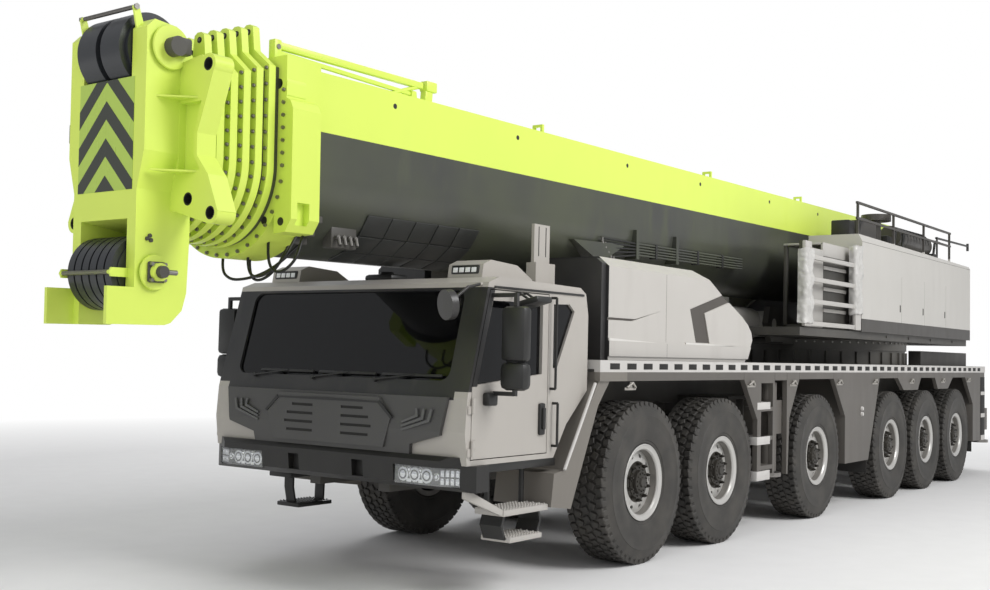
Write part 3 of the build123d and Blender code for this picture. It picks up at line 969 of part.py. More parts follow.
SHEAVE_GROUPS = (("upper", SHEAVE_TOP, SLOT_TOP - 8, 2), ("lower", SHEAVE_LOW, SLOT_LOW - 8, 6))
for name, (u, v, radius), half, count in SHEAVE_GROUPS:
    pitch = 2 * half / count
    with BuildPart() as sheaves:
        boom_bar(u, v, radius * 0.82, -half, half)
        for index in range(count):
            middle = -half + (index + 0.5) * pitch
            boom_bar(u, v, radius, middle - pitch * 0.4, middle + pitch * 0.4)
        boom_bar(u, v, HEAD_AXLE_R + RUNNING_GAP, -half - 1, half + 1, mode=Mode.SUBTRACT)
    finish(sheaves, f"{name}_sheaves")

# ================================================================ lift cylinder
LIFT_LINE = Plane(origin=(LIFT_PIVOT_X, 0, LIFT_PIVOT_Z), x_dir=(0, 1, 0),
                  z_dir=(LIFT_EYE_X - LIFT_PIVOT_X, 0, LIFT_EYE_Z - LIFT_PIVOT_Z))
LIFT_LENGTH = ((LIFT_EYE_X - LIFT_PIVOT_X) ** 2 + (LIFT_EYE_Z - LIFT_PIVOT_Z) ** 2) ** 0.5
BARREL_END = LIFT_LENGTH - 480


def lift_run(start, end, radius, mode=Mode.ADD):
    """Add or cut a round length of the lift cylinder, measured from its lower pin."""
    with BuildSketch(LIFT_LINE.offset(start)) as section:
        Circle(radius)
    extrude(section.sketch, amount=end - start, mode=mode)


with BuildPart() as lift_cylinder_barrel:
    lift_run(120, BARREL_END, LIFT_BARREL_R)
    bar_across(LIFT_PIVOT_X, LIFT_PIVOT_Z, 180, -LIFT_LUG_IN + RUNNING_GAP, LIFT_LUG_IN - RUNNING_GAP)
    bar_across(LIFT_PIVOT_X, LIFT_PIVOT_Z, LIFT_PIN_R, -LIFT_LUG_OUT, LIFT_LUG_OUT)
    lift_run(400, BARREL_END + 1, LIFT_ROD_R + RUNNING_GAP, mode=Mode.SUBTRACT)
finish(lift_cylinder_barrel, "lift_cylinder_barrel")

with BuildPart() as lift_cylinder_rod:
    lift_run(410, LIFT_LENGTH - 100, LIFT_ROD_R)
    bar_across(LIFT_EYE_X, LIFT_EYE_Z, LIFT_EYE_R, RUNNING_GAP - EYE_CHEEK[0], EYE_CHEEK[0] - RUNNING_GAP)
    bar_across(LIFT_EYE_X, LIFT_EYE_Z, LIFT_PIN_R, -EYE_CHEEK[1], EYE_CHEEK[1])
finish(lift_cylinder_rod, "lift_cylinder_rod")
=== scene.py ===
import json
import math

import bmesh
import bpy
from mathutils import Matrix, Vector, noise


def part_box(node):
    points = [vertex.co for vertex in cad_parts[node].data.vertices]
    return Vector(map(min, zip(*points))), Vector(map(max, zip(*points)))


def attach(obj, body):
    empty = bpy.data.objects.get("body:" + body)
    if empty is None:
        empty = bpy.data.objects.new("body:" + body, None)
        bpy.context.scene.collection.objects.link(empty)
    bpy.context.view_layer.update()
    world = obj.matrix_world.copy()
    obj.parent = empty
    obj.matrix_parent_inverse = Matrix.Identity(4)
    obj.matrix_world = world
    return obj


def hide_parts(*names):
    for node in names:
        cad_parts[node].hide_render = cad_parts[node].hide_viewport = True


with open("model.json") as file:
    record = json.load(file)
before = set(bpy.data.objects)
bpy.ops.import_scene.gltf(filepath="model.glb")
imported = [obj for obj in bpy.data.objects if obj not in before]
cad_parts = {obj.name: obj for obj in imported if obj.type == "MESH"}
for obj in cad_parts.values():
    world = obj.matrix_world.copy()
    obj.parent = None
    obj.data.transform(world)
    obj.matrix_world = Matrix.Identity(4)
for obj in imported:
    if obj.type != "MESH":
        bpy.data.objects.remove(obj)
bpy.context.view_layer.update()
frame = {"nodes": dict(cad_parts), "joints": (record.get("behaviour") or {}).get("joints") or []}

# ---------------------------------------------------------------- studio
# A pale seamless floor under soft lamps: a large key lamp high on the crane's left, a weaker one in
# front and an even sky. The camera stands at head height off the front left corner.
wheel_low, wheel_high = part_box("wheel_1_left")
FRONT_AXLE = (wheel_low.x + wheel_high.x) / 2
STATIONS = Matrix.Translation((FRONT_AXLE, 0, 0))   # stations are metres in front of the first axle

EYE = STATIONS @ Vector((9.592, 6.789, 1.900))
YAW, PITCH, ROLL = math.radians(36.43), math.radians(2.86), math.radians(1.287)
forward = Vector((-math.cos(YAW) * math.cos(PITCH), -math.sin(YAW) * math.cos(PITCH), math.sin(PITCH)))
level_right = forward.cross(Vector((0, 0, 1))).normalized()
level_up = level_right.cross(forward)
right = math.cos(ROLL) * level_right + math.sin(ROLL) * level_up
up = right.cross(forward)
camera = bpy.data.objects.new("camera", bpy.data.cameras.new("camera"))
camera.data.lens = 42.62
camera.data.sensor_width = 36
camera.data.clip_end = 200
camera.matrix_world = Matrix.Translation(EYE) @ Matrix((right, up, -forward)).transposed().to_4x4()
bpy.context.collection.objects.link(camera)
bpy.context.scene.camera = camera
bpy.context.scene.view_settings.view_transform = "Standard"


def linear(hex_code):
    """Scene-linear colour of an sRGB hex value."""
    channels = [int(hex_code[i:i + 2], 16) / 255 for i in (0, 2, 4)]
    return (*[c / 12.92 if c <= 0.04045 else ((c + 0.055) / 1.055) ** 2.4 for c in channels], 1)


def add_node(tree, kind, inputs={}, **settings):
    """Add a shader node with its settings; an input is a value or another node's socket."""
    node = tree.nodes.new("ShaderNode" + kind)
    for name, value in settings.items():
        setattr(node, name, value)
    for name, value in inputs.items():
        if isinstance(value, bpy.types.NodeSocket):
            tree.links.new(value, node.inputs[name])
        else:
            node.inputs[name].default_value = value
    return node


world = bpy.data.worlds.new("studio")
bpy.context.scene.world = world
world.use_nodes = True
tree = world.node_tree
tree.nodes.clear()
rays = add_node(tree, "LightPath")
seen = add_node(tree, "Math", {0: rays.outputs["Is Camera Ray"], 1: rays.outputs["Is Transmission Ray"]},
                operation="MAXIMUM")
sky = add_node(tree, "Background", {"Color": linear("f2f4f7"), "Strength": 0.56})
white = add_node(tree, "Background", {"Color": (1, 1, 1, 1), "Strength": 1.0})
mixed = add_node(tree, "MixShader", {0: seen.outputs[0], 1: sky.outputs[0], 2: white.outputs[0]})
add_node(tree, "OutputWorld", {"Surface": mixed.outputs[0]})

for name, place, size, power in (("key", (2.0, 14.0, 13.0), 9.0, 2050), ("front", (17.0, 2.0, 7.0), 7.0, 160),
                                 ("back", (-12.0, -11.0, 11.0), 9.0, 1000)):
    lamp = bpy.data.objects.new(name, bpy.data.lights.new(name, "AREA"))
    lamp.data.shape = "DISK"
    lamp.data.size = size
    lamp.data.energy = power
    lamp.location = place
    lamp.rotation_euler = (Vector((0, 0, 2)) - lamp.location).to_track_quat("-Z", "Y").to_euler()
    bpy.context.collection.objects.link(lamp)

floor_bm = bmesh.new()
bmesh.ops.create_circle(floor_bm, cap_ends=True, segments=64, radius=60)
floor_mesh = bpy.data.meshes.new("floor")
floor_bm.to_mesh(floor_mesh)
floor_bm.free()
floor = bpy.data.objects.new("floor", floor_mesh)
bpy.context.collection.objects.link(floor)
floor_paint = bpy.data.materials.new("floor_vinyl")
floor_paint.use_nodes = True
tree = floor_paint.node_tree
tree.nodes.clear()
coords = add_node(tree, "TexCoord")
far = add_node(tree, "VectorMath", {0: coords.outputs["Object"]}, operation="LENGTH")
fade = add_node(tree, "MapRange", {"Value": far.outputs["Value"], "From Min": 11.0, "From Max": 20.0})
speck = add_node(tree, "TexNoise", {"Vector": coords.outputs["Object"], "Scale": 3.0})
tone = add_node(tree, "Mix", {"Factor": speck.outputs["Fac"], "A": linear("f0efee"), "B": linear("eae9e8")},
                data_type="RGBA")
lit = add_node(tree, "BsdfDiffuse", {"Color": tone.outputs["Result"]})
glow = add_node(tree, "Emission", {"Color": (1, 1, 1, 1), "Strength": 1.0})
mixed = add_node(tree, "MixShader", {0: fade.outputs["Result"], 1: lit.outputs[0], 2: glow.outputs[0]})
add_node(tree, "OutputMaterial", {"Surface": mixed.outputs[0]})
floor_mesh.materials.append(floor_paint)


# ---------------------------------------------------------------- frame and running gear
# Welded box frame, axle casings, struts and the engine: steel under a dark topcoat, dusty from the
# road. The paint is sprayed two-pack enamel, so it has a faint orange peel and duller, paler streaks.
def plain_material(name):
    """A new material with its node tree, its shader and the object's own coordinates."""
    material = bpy.data.materials.new(name)
    material.use_nodes = True
    tree = material.node_tree
    return material, tree, tree.nodes["Principled BSDF"], add_node(tree, "TexCoord").outputs["Object"]


def relief(tree, coords, scale, detail, strength, depth, rough=0.5):
    """Give a tree's shader a fine relief, in grains of about one over the scale, in metres."""
    grain = add_node(tree, "TexNoise", {"Vector": coords, "Scale": scale, "Detail": detail, "Roughness": rough})
    bump = add_node(tree, "Bump", {"Height": grain.outputs["Fac"], "Strength": strength, "Distance": depth})
    tree.links.new(bump.outputs["Normal"], tree.nodes["Principled BSDF"].inputs["Normal"])


def painted(name, colour, dust, gloss=0.42, second=None, zones=(), grime=0.35, metal=0.0):
    """Sprayed enamel; the second colour fills each zone beyond all of its (normal, offset) planes."""
    material, tree, shader, coords = plain_material(name)
    base = linear(colour)
    for planes in zones:
        inside = 1.0
        for normal, offset in planes:
            height = add_node(tree, "VectorMath", {0: coords, 1: normal}, operation="DOT_PRODUCT")
            side = add_node(tree, "Math", {0: height.outputs["Value"], 1: offset}, operation="GREATER_THAN")
            inside = add_node(tree, "Math", {0: inside, 1: side.outputs[0]}, operation="MULTIPLY").outputs[0]
        base = add_node(tree, "Mix", {"Factor": inside, "A": base, "B": linear(second)},
                        data_type="RGBA").outputs["Result"]
    # broad fading, about 1 m across, then faint runs of dust down the panels
    broad = add_node(tree, "TexNoise", {"Vector": coords, "Scale": 0.9, "Detail": 3.0, "Roughness": 0.5})
    stretched = add_node(tree, "Mapping", {"Vector": coords, "Scale": (2.6, 2.6, 0.7)})
    streak = add_node(tree, "TexNoise", {"Vector": stretched.outputs[0], "Scale": 1.6, "Detail": 4.0,
                                         "Roughness": 0.5})
    dirt = add_node(tree, "MapRange", {"Value": streak.outputs["Fac"], "From Min": 0.5, "From Max": 0.85,
                                       "To Max": grime * 0.7})
    spread = add_node(tree, "MapRange", {"Value": broad.outputs["Fac"], "From Min": 0.4, "From Max": 0.75,
                                         "To Max": grime * 0.6})
    amount = add_node(tree, "Math", {0: dirt.outputs["Result"], 1: spread.outputs["Result"]},
                      operation="MAXIMUM")
    shade = add_node(tree, "Mix", {"Factor": amount.outputs[0], "A": base, "B": linear(dust)},
                     data_type="RGBA")
    tree.links.new(shade.outputs["Result"], shader.inputs["Base Color"])
    rough = add_node(tree, "MapRange", {"Value": streak.outputs["Fac"], "From Min": 0.3, "From Max": 0.7,
                                        "To Min": gloss - 0.04, "To Max": gloss + 0.06})
    tree.links.new(rough.outputs["Result"], shader.inputs["Roughness"])
    shader.inputs["Metallic"].default_value = metal
    # orange peel, drawn about 12 mm across so that it shows
    relief(tree, coords, 85.0, 2.0, 0.12, 0.002)
    return material


def beyond(x, y, z, offset):
    """A plane of a zone, given in stations: points where x, y, z weighted so come to more than the offset."""
    return (x, y, z), offset + x * FRONT_AXLE


def finish_nodes(material, slot, *names):
    """Give CAD nodes a material."""
    for name in names:
        node = frame["nodes"][name]
        node.data.materials.clear()
        node.data.materials.append(material)


SIDES = (("left", 1), ("right", -1))
frame_enamel = painted("frame_enamel", "45433f", "77726a", gloss=0.5)
cast_iron = painted("cast_iron", "2d2b29", "5d564d", gloss=0.62, grime=0.6)
finish_nodes(frame_enamel, "frame_paint", "chassis_frame")
finish_nodes(cast_iron, "cast", "engine_block", "axle_beams",
             *[f"knuckle_{n}_{side}" for n in (1, 2, 3, 5, 6) for side, _ in SIDES])

# ---------------------------------------------------------------- skirts and deck
# Folded steel panels hang from the deck's edge; the deck's pale edge strip is slotted for lashing.
# ahead of station 0.40, over the front wheels, the panels are a lighter grey: a painted highlight on the
# mudguards
skirt_enamel = painted("skirt_enamel", "5d5954", "86817a", gloss=0.48, second="78736c", grime=0.25,
                       zones=[[beyond(1, 0, 0, 0.40)]])
strip_enamel = painted("strip_enamel", "c9c6c2", "8f8a83", gloss=0.45, grime=0.2)
deck_enamel = painted("deck_enamel", "3f3d3a", "6f6a63", gloss=0.55, second="c9c6c2", grime=0.3,
                      zones=[[beyond(0, 0, -1, -1.8645)]])
# rubber sheet: soft black and matt; the same black is also painted shade in slots, louvres and recesses
dark_rubber_and_shade = painted("dark_rubber_and_shade", "1b1a19", "4a4641", gloss=0.7)
finish_nodes(skirt_enamel, "frame_paint", "side_skirts")
finish_nodes(deck_enamel, "deck_strip", "deck")


def block(bm, low, high, edge=0.0, material=0, turn=None, rounds=2):
    """Add a block between two corners, its edges rounded in so many steps; turn is about its middle."""
    verts = bmesh.ops.create_cube(bm, size=1)["verts"]
    low, high = Vector(low), Vector(high)
    bmesh.ops.scale(bm, vec=high - low, verts=verts)
    for face in {f for v in verts for f in v.link_faces}:
        face.material_index = material
    if edge:
        edges = {e for v in verts for e in v.link_edges}
        made = bmesh.ops.bevel(bm, geom=list(edges), offset=edge, offset_type="OFFSET", segments=rounds,
                               profile=0.5, affect="EDGES", material=-1, clamp_overlap=True)
        verts = list({v for f in made["faces"] for v in f.verts})
    if turn is not None:
        bmesh.ops.transform(bm, matrix=turn.to_4x4(), verts=verts)
    bmesh.ops.translate(bm, vec=(low + high) / 2, verts=verts)
    return verts


def rod(bm, start, end, radius, material=0, sides=12, tip=None):
    """Add a round rod between two points; tip is the radius at its end."""
    start, end = Vector(start), Vector(end)
    axis = end - start
    made = bmesh.ops.create_cone(bm, cap_ends=True, segments=sides, radius1=radius,
                                 radius2=radius if tip is None else tip, depth=axis.length)
    turn = axis.to_track_quat("Z", "Y").to_matrix().to_4x4()
    bmesh.ops.transform(bm, matrix=Matrix.Translation((start + end) / 2) @ turn, verts=made["verts"])
    for face in {f for v in made["verts"] for f in v.link_faces}:
        face.material_index = material


def mirrored(bm):
    """Add the same again on the vehicle's other side."""
    made = bmesh.ops.duplicate(bm, geom=bm.verts[:] + bm.edges[:] + bm.faces[:])["geom"]
    bmesh.ops.scale(bm, vec=(1, -1, 1), verts=[v for v in made if isinstance(v, bmesh.types.BMVert)])


def piece(name, bm, body, slot, *materials, place=STATIONS, crease=35):
    """Finish a bmesh as a piece that rides on a body."""
    bmesh.ops.transform(bm, matrix=place, verts=bm.verts)
    bmesh.ops.recalc_face_normals(bm, faces=bm.faces)
    mesh = bpy.data.meshes.new(name)
    bm.to_mesh(mesh)
    bm.free()
    for material in materials:
        mesh.materials.append(material)
    mesh.shade_smooth()
    mesh.set_sharp_from_angle(angle=math.radians(crease))
    obj = bpy.data.objects.new(name, mesh)
    bpy.context.collection.objects.link(obj)
    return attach(obj, body)


bm = bmesh.new()
# slots in the strip: flat dark blocks on its face, painted shade where the openings are
for count in range(42):
    x = 0.62 - count * 0.3
    block(bm, (x - 0.083, 1.4995, 1.784), (x + 0.083, 1.5025, 1.838), 0.001)
mirrored(bm)
piece("deck_slots", bm, "carrier", "frame_paint", dark_rubber_and_shade)

bm = bmesh.new()
for x in (0.35, -2.26, -3.43, -4.93, -6.28, -7.90, -9.50, -11.0):
    # lashing rings: a small pale plate under the strip with a bent ring on it
    block(bm, (x - 0.10, 1.500, 1.598), (x + 0.10, 1.508, 1.622), 0.003)
    block(bm, (x - 0.03, 1.500, 1.622), (x + 0.01, 1.510, 1.672), 0.004)
    rod(bm, (x - 0.08, 1.514, 1.622), (x - 0.01, 1.526, 1.665), 0.010)
    rod(bm, (x - 0.01, 1.526, 1.665), (x + 0.07, 1.514, 1.622), 0.010)
mirrored(bm)
# hot-dip galvanised steel: pale, mottled and half metallic
galvanised = painted("galvanised", "a8a49d", "7d776f", gloss=0.4, metal=0.3)
piece("lashing_fittings", bm, "carrier", "deck_strip", galvanised)

# ladder treads in the skirts' recess and at the rear corner, hose unions, and a pale rod along each
# mudguard's edge as a painted highlight
bm = bmesh.new()
for low, high in ((0.575, 0.680), (0.965, 1.055), (1.350, 1.430)):
    block(bm, (-2.785, 1.400, low), (-2.435, 1.503, high), 0.006)
    block(bm, (-12.035, 1.4995, low + 0.02), (-11.790, 1.512, high), 0.005)
for z in (1.215, 1.285):
    rod(bm, (-5.76, 1.499, z), (-5.76, 1.525, z), 0.030, 0, 16, tip=0.024)
rod(bm, (0.945, 1.4985, 1.664), (1.405, 1.4985, 0.955), 0.015, 0, 10)
mirrored(bm)
piece("skirt_treads", bm, "carrier", "steel", strip_enamel)
# a flat dark sheet behind the rear ladder's treads: painted shade behind them
bm = bmesh.new()
block(bm, (-12.050, 1.4985, 0.600), (-11.775, 1.5035, 1.680), 0.001)
mirrored(bm)
piece("rear_ladder_back", bm, "carrier", "dark_plastic", dark_rubber_and_shade)

bm = bmesh.new()
for x in (-6.045, -11.32):
    # mudflaps behind the third and the last pair of wheels
    block(bm, (x - 0.012, 0.98, 0.42), (x, 1.47, 0.98), 0.004)
mirrored(bm)
piece("mudflaps", bm, "carrier", "tyre", dark_rubber_and_shade)

# red acrylic lenses: dark and glossy while unlit
lamp_red = painted("lamp_red", "7c1512", "4a2320", gloss=0.2, grime=0.15)
bm = bmesh.new()
block(bm, (-12.075, 1.18, 1.20), (-12.045, 1.46, 1.33), 0.006, 1)
for y in (1.23, 1.32, 1.41):
    rod(bm, (-12.075, y, 1.265), (-12.088, y, 1.265), 0.038, 0, 20, tip=0.034)
mirrored(bm)
piece("rear_lamps", bm, "carrier", "dark_plastic", lamp_red, dark_rubber_and_shade)

# ---------------------------------------------------------------- wheels
# Radial tyres with blocks cut deep for soft ground, on silver disc rims held by ten studs. The hub's
# cap carries a ring of bolts. Each wheel is one turned section, with the blocks set round it.
TYRE_R, WHEEL_Y = 0.745, 1.27
AXLE_Z = TYRE_R
# vulcanised rubber: near black and dull, with pale dust lying on it
tyre_rubber, tree, shader, coords = plain_material("moulded_rubber")
dust = add_node(tree, "TexNoise", {"Vector": coords, "Scale": 4.0, "Detail": 4.0, "Roughness": 0.55})
amount = add_node(tree, "MapRange", {"Value": dust.outputs["Fac"], "From Min": 0.40, "From Max": 0.75,
                                     "To Max": 0.55})
shade = add_node(tree, "Mix", {"Factor": amount.outputs["Result"], "A": linear("383633"),
                               "B": linear("56524c")}, data_type="RGBA")
tree.links.new(shade.outputs["Result"], shader.inputs["Base Color"])
shader.inputs["Roughness"].default_value = 0.62
relief(tree, coords, 160.0, 3.0, 0.12, 0.002)
# pressed steel under silver lacquer, its well painted darker as the flange's shade; the hub is oiled cast steel
rim_silver = painted("rim_silver", "c8c6c2", "8a857d", gloss=0.34, grime=0.3, metal=0.3)
rim_well_painted_shade = painted("rim_well_painted_shade", "827f7a", "4f4b46", gloss=0.42, grime=0.4, metal=0.3)
hub_steel = painted("hub_steel", "37342f", "5f5a52", gloss=0.4, grime=0.4, metal=0.4)


def turned(bm, section, material=0, steps=72, close=True):
    """Add a ring: (radius, across) points of its section spun round the wheel's axle."""
    verts = [bm.verts.new((r, w, 0)) for r, w in section]
    edges = [bm.edges.new(pair) for pair in zip(verts, verts[1:] + verts[:1] if close else verts[1:])]
    before = set(bm.faces)
    bmesh.ops.spin(bm, geom=verts + edges, axis=(0, 1, 0), cent=(0, 0, 0), angle=math.tau, steps=steps,
                   use_merge=True)
    for face in set(bm.faces) - before:
        face.material_index = material


def tilt(degrees, axis):
    """A turn by so many degrees about an axis."""
    return Matrix.Rotation(math.radians(degrees), 3, axis)


def swing(bm, verts, angle, axis):
    """Turn vertices by an angle in radians about an axis through the origin."""
    bmesh.ops.rotate(bm, verts=verts, cent=(0, 0, 0), matrix=Matrix.Rotation(angle, 3, axis))


# (radius, distance from the centre plane): bead, bulging side with two ribs, shoulder, tread floor
TYRE_HALF = [(0.322, 0.160), (0.352, 0.176), (0.366, 0.188), (0.384, 0.190), (0.390, 0.198), (0.45, 0.216),
             (0.53, 0.2225), (0.60, 0.2205), (0.604, 0.2225), (0.614, 0.2225), (0.618, 0.2185), (0.66, 0.209),
             (0.695, 0.200), (0.722, 0.172), (0.726, 0.12)]
BLOCKS = 52
wheel_bm = bmesh.new()
turned(wheel_bm, TYRE_HALF + [(r, -w) for r, w in reversed(TYRE_HALF)])
for index in range(BLOCKS):
    for middle, wide, lean, offset in ((0.156, 0.060, 10, 0.0), (0.078, 0.062, -22, 0.5),
                                       (0.0, 0.060, 22, 0.0), (-0.078, 0.062, -22, 0.5),
                                       (-0.156, 0.060, 10, 0.0)):
        verts = block(wheel_bm, (0.706, middle - wide / 2, -0.030), (TYRE_R, middle + wide / 2, 0.030),
                      0.005, turn=tilt(lean, "X"), rounds=1)
        swing(wheel_bm, verts, math.tau * (index + offset) / BLOCKS, "Y")
    for side in (1, -1):
        # shoulder lugs down the side of the tread
        verts = block(wheel_bm, (0.662, side * 0.168 - 0.031, -0.028),
                      (0.737, side * 0.168 + 0.031, 0.028), 0.007, turn=tilt(-side * 14, "Z"), rounds=1)
        swing(wheel_bm, verts, math.tau * (index + 0.25) / BLOCKS, "Y")
# rim: flanges and well
turned(wheel_bm, [(0.304, 0.150), (0.322, 0.160), (0.350, 0.180), (0.353, 0.190), (0.344, 0.195),
                  (0.330, 0.186), (0.308, 0.180), (0.298, 0.166)], 1)
# rear flange and well, in the darker silver of painted shade
turned(wheel_bm, [(0.300, -0.190), (0.350, -0.190), (0.350, -0.180), (0.322, -0.166), (0.322, 0.160),
                  (0.304, 0.160), (0.292, 0.110), (0.288, 0.0), (0.300, -0.02)], 3)
# dished disc with its ring of holes: one sector at a time, its hole bridged to its outline; both are
# given as (radius, angle) points
HOLES, HOLE_RING, HOLE_R, HOLE_HIGH = 10, 0.243, 0.021, 0.02415
DISC_R, HUB_R, DISC_Y, DISH = 0.291, 0.190, 0.095, 0.25
HALF = math.pi / HOLES
SECTOR = [(r, HALF * t) for r, t in (
    *[(DISC_R, t) for t in (0, 0.33, 0.66)], *[(r, 1) for r in (DISC_R, 0.262, HOLE_RING, 0.22)],
    *[(HUB_R, t) for t in (1, 0.66, 0.33, 0, -0.33, -0.66, -1)],
    *[(r, -1) for r in (0.22, HOLE_RING, 0.262, DISC_R)], *[(DISC_R, t) for t in (-0.66, -0.33)])]
HOLE = [(HOLE_RING + HOLE_R * math.cos(turn), HOLE_HIGH / HOLE_RING * math.sin(turn))
        for turn in (math.tau * step / 20 for step in range(20))]
for index in range(HOLES):
    loops = []
    for points in (SECTOR, HOLE):
        verts = [wheel_bm.verts.new((r * math.cos(a), DISC_Y + (DISC_R - r) * DISH, r * math.sin(a)))
                 for r, a in points]
        loops += [wheel_bm.edges.new(pair) for pair in zip(verts, verts[1:] + verts[:1])]
    faces = bmesh.ops.bridge_loops(wheel_bm, edges=loops)["faces"]
    thick = bmesh.ops.solidify(wheel_bm, geom=faces, thickness=0.014)["geom"]
    sector = {v for f in faces for v in f.verts} | {v for v in thick if isinstance(v, bmesh.types.BMVert)}
    for face in {f for v in sector for f in v.link_faces}:
        face.material_index = 1
    swing(wheel_bm, list(sector), math.tau * index / HOLES, "Y")
# hub flange, drum behind the holes, cap and bolts
turned(wheel_bm, [(0.0001, 0.080), (0.193, 0.080), (0.193, 0.118), (0.150, 0.126), (0.150, 0.134),
                  (0.112, 0.138), (0.106, 0.168), (0.094, 0.174), (0.0001, 0.176)], 2, 48, False)
turned(wheel_bm, [(0.150, -0.150), (0.262, -0.150), (0.266, -0.040), (0.262, 0.070), (0.150, 0.076)], 2, 40)
for count, ring, size, high, base in ((10, 0.1675, 0.017, 0.032, 0.124), (10, 0.1675, 0.009, 0.050, 0.124),
                                      (12, 0.084, 0.008, 0.010, 0.174), (12, 0.130, 0.007, 0.012, 0.134)):
    for index in range(count):
        turn = math.tau * (index + 0.5) / count
        spot = Vector((ring * math.cos(turn), 0, ring * math.sin(turn)))
        rod(wheel_bm, spot + Vector((0, base, 0)), spot + Vector((0, base + high, 0)), size, 2,
            6 if size > 0.01 else 8)
rod(wheel_bm, (0, 0.174, 0), (0, 0.190, 0), 0.05, 2, 24, tip=0.042)

for number in range(1, 7):
    wheel_low, wheel_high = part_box(f"wheel_{number}_left")
    x = (wheel_low.x + wheel_high.x) / 2
    for side, sign in SIDES:
        name = f"wheel_{number}_{side}"
        turn = Matrix.Rotation(0 if sign > 0 else math.pi, 4, "Z")
        spin = Matrix.Rotation(math.radians(37 * number), 4, "Y")
        place = Matrix.Translation((x, sign * WHEEL_Y, AXLE_Z)) @ turn @ spin
        tyre = piece(f"tyre_and_rim_{number}_{side}", wheel_bm.copy(), name, "tyre", tyre_rubber, rim_silver,
                     hub_steel, rim_well_painted_shade, place=place, crease=30)
        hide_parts(name)
wheel_bm.free()

# ---------------------------------------------------------------- outriggers
# Box beams slide out of the frame's cross boxes, sprayed like the skirts; each carries an upright jack
# with a round foot. The jacks are machined steel under oil, bright with a soft metallic sheen.
bare_steel = painted("bare_steel", "8f8c88", "5b554c", gloss=0.34, metal=0.8, grime=0.3)
for end in ("front", "rear"):
    for side, _ in SIDES:
        finish_nodes(skirt_enamel, "frame_paint", f"outrigger_beam_{end}_{side}")
        finish_nodes(bare_steel, "steel", f"outrigger_jack_{end}_{side}")

# ---------------------------------------------------------------- driver's cab
# Pressed steel shell in warm pale grey enamel, with tinted glass bonded in a black border. Its mirrors,
# trims and lamp housings are moulded plastic, charcoal with a satin sheen.
# the same charcoal is also painted shade in the boom's holes and on the right-hand step treads
moulded_black_and_shade = painted("moulded_black_and_shade", "232322", "55524e", gloss=0.42, grime=0.2)
SCREEN = Matrix.Translation((2.590, 0, 1.640)) @ Matrix(
    (Vector((0, 1, 0)), Vector((-0.2621, 0, 0.9650)), Vector((0.9650, 0, 0.2621)))).transposed().to_4x4()
SLOPE = (0.9650, 0, 0.2621)    # square to the windscreen; its outer face lies at 2.929 along this
cab_paint = painted("cab_enamel_and_trim", "b4afa8", "8d867e", gloss=0.34, second="2b2b2c", grime=0.22,
                    zones=[[beyond(*SLOPE, 2.845), beyond(0, 0, 1, 1.605), beyond(0, 0, -1, -2.412)],
                           [beyond(*SLOPE, 2.845), beyond(0, 0, 1, 1.540), beyond(0, 0, -1, -2.0),
                            beyond(0, 1, 0, -1.27), beyond(0, -1, 0, -1.27)],
                           [beyond(*SLOPE, 2.955), beyond(0, 0, 1, 2.10)]])
finish_nodes(cab_paint, "pale_paint", "driver_cab")
for side, sign in SIDES:
    door_paint = painted(f"door_enamel_{side}", "b4afa8", "8d867e", gloss=0.34, second="2b2b2c", grime=0.22,
                         zones=[[beyond(0, sign, 0, 1.43)], [beyond(*SLOPE, 2.836), beyond(0, 0, 1, 1.645)]])
    finish_nodes(door_paint, "pale_paint", f"door_{side}")
finish_nodes(painted("bumper_enamel", "201f1e", "4b4843", gloss=0.45, second="4c4b4a", grime=0.2,
                     zones=[[beyond(0, 0, 1, 1.1125)]]), "dark_plastic", "front_bumper")


def clouded(name, first, second, scale, detail, **sockets):
    """A sheet material whose colour drifts between two hex values, in clouds of one over the scale."""
    material, tree, shader, coords = plain_material(name)
    cloud = add_node(tree, "TexNoise", {"Vector": coords, "Scale": scale, "Detail": detail})
    tone = add_node(tree, "Mix", {"Factor": cloud.outputs["Fac"], "A": linear(first), "B": linear(second)},
                    data_type="RGBA")
    tree.links.new(tone.outputs["Result"], shader.inputs["Base Color"])
    for socket, value in sockets.items():
        shader.inputs[socket].default_value = value
    return material


# toughened glass, tinted through and polished: it mirrors the sky. Its near-black colour is partly the
# tint and partly painted shade of the cab's interior, and it hides the empty cab
glass_tint_and_cab_shade = clouded("glass_tint_and_cab_shade", "050506", "0c0c0e", 2.2, 3.0, Roughness=0.04, Alpha=0.93, IOR=1.45)
finish_nodes(glass_tint_and_cab_shade, "glass", "cab_glass", "crane_cab_glass")


def border(bm, points, corner, wide, push, material=0):
    """Add a flat ring inside a polygon with rounded corners, thickened along push."""
    before = set(bm.faces)
    verts = [bm.verts.new(p) for p in points]
    bm.faces.new(verts)
    bmesh.ops.bevel(bm, geom=verts, offset=corner, offset_type="OFFSET", segments=4, profile=0.5,
                    affect="VERTICES", material=-1)
    middle = [f for f in bm.faces if f not in before]
    ring = bmesh.ops.inset_region(bm, faces=middle, thickness=wide, use_even_offset=True)["faces"]
    bmesh.ops.delete(bm, geom=middle, context="FACES_ONLY")
    made = bmesh.ops.extrude_face_region(bm, geom=ring)["geom"]
    bmesh.ops.translate(bm, vec=push, verts=[v for v in made if isinstance(v, bmesh.types.BMVert)])
    for face in set(bm.faces) - before:
        face.material_index = material


def side_block(bm, sign, low, high, *finish, **more):
    """Add a block on one side; its widths are given for the left."""
    near, far = sorted((sign * low[1], sign * high[1]))
    return block(bm, (low[0], near, low[2]), (high[0], far, high[2]), *finish, **more)


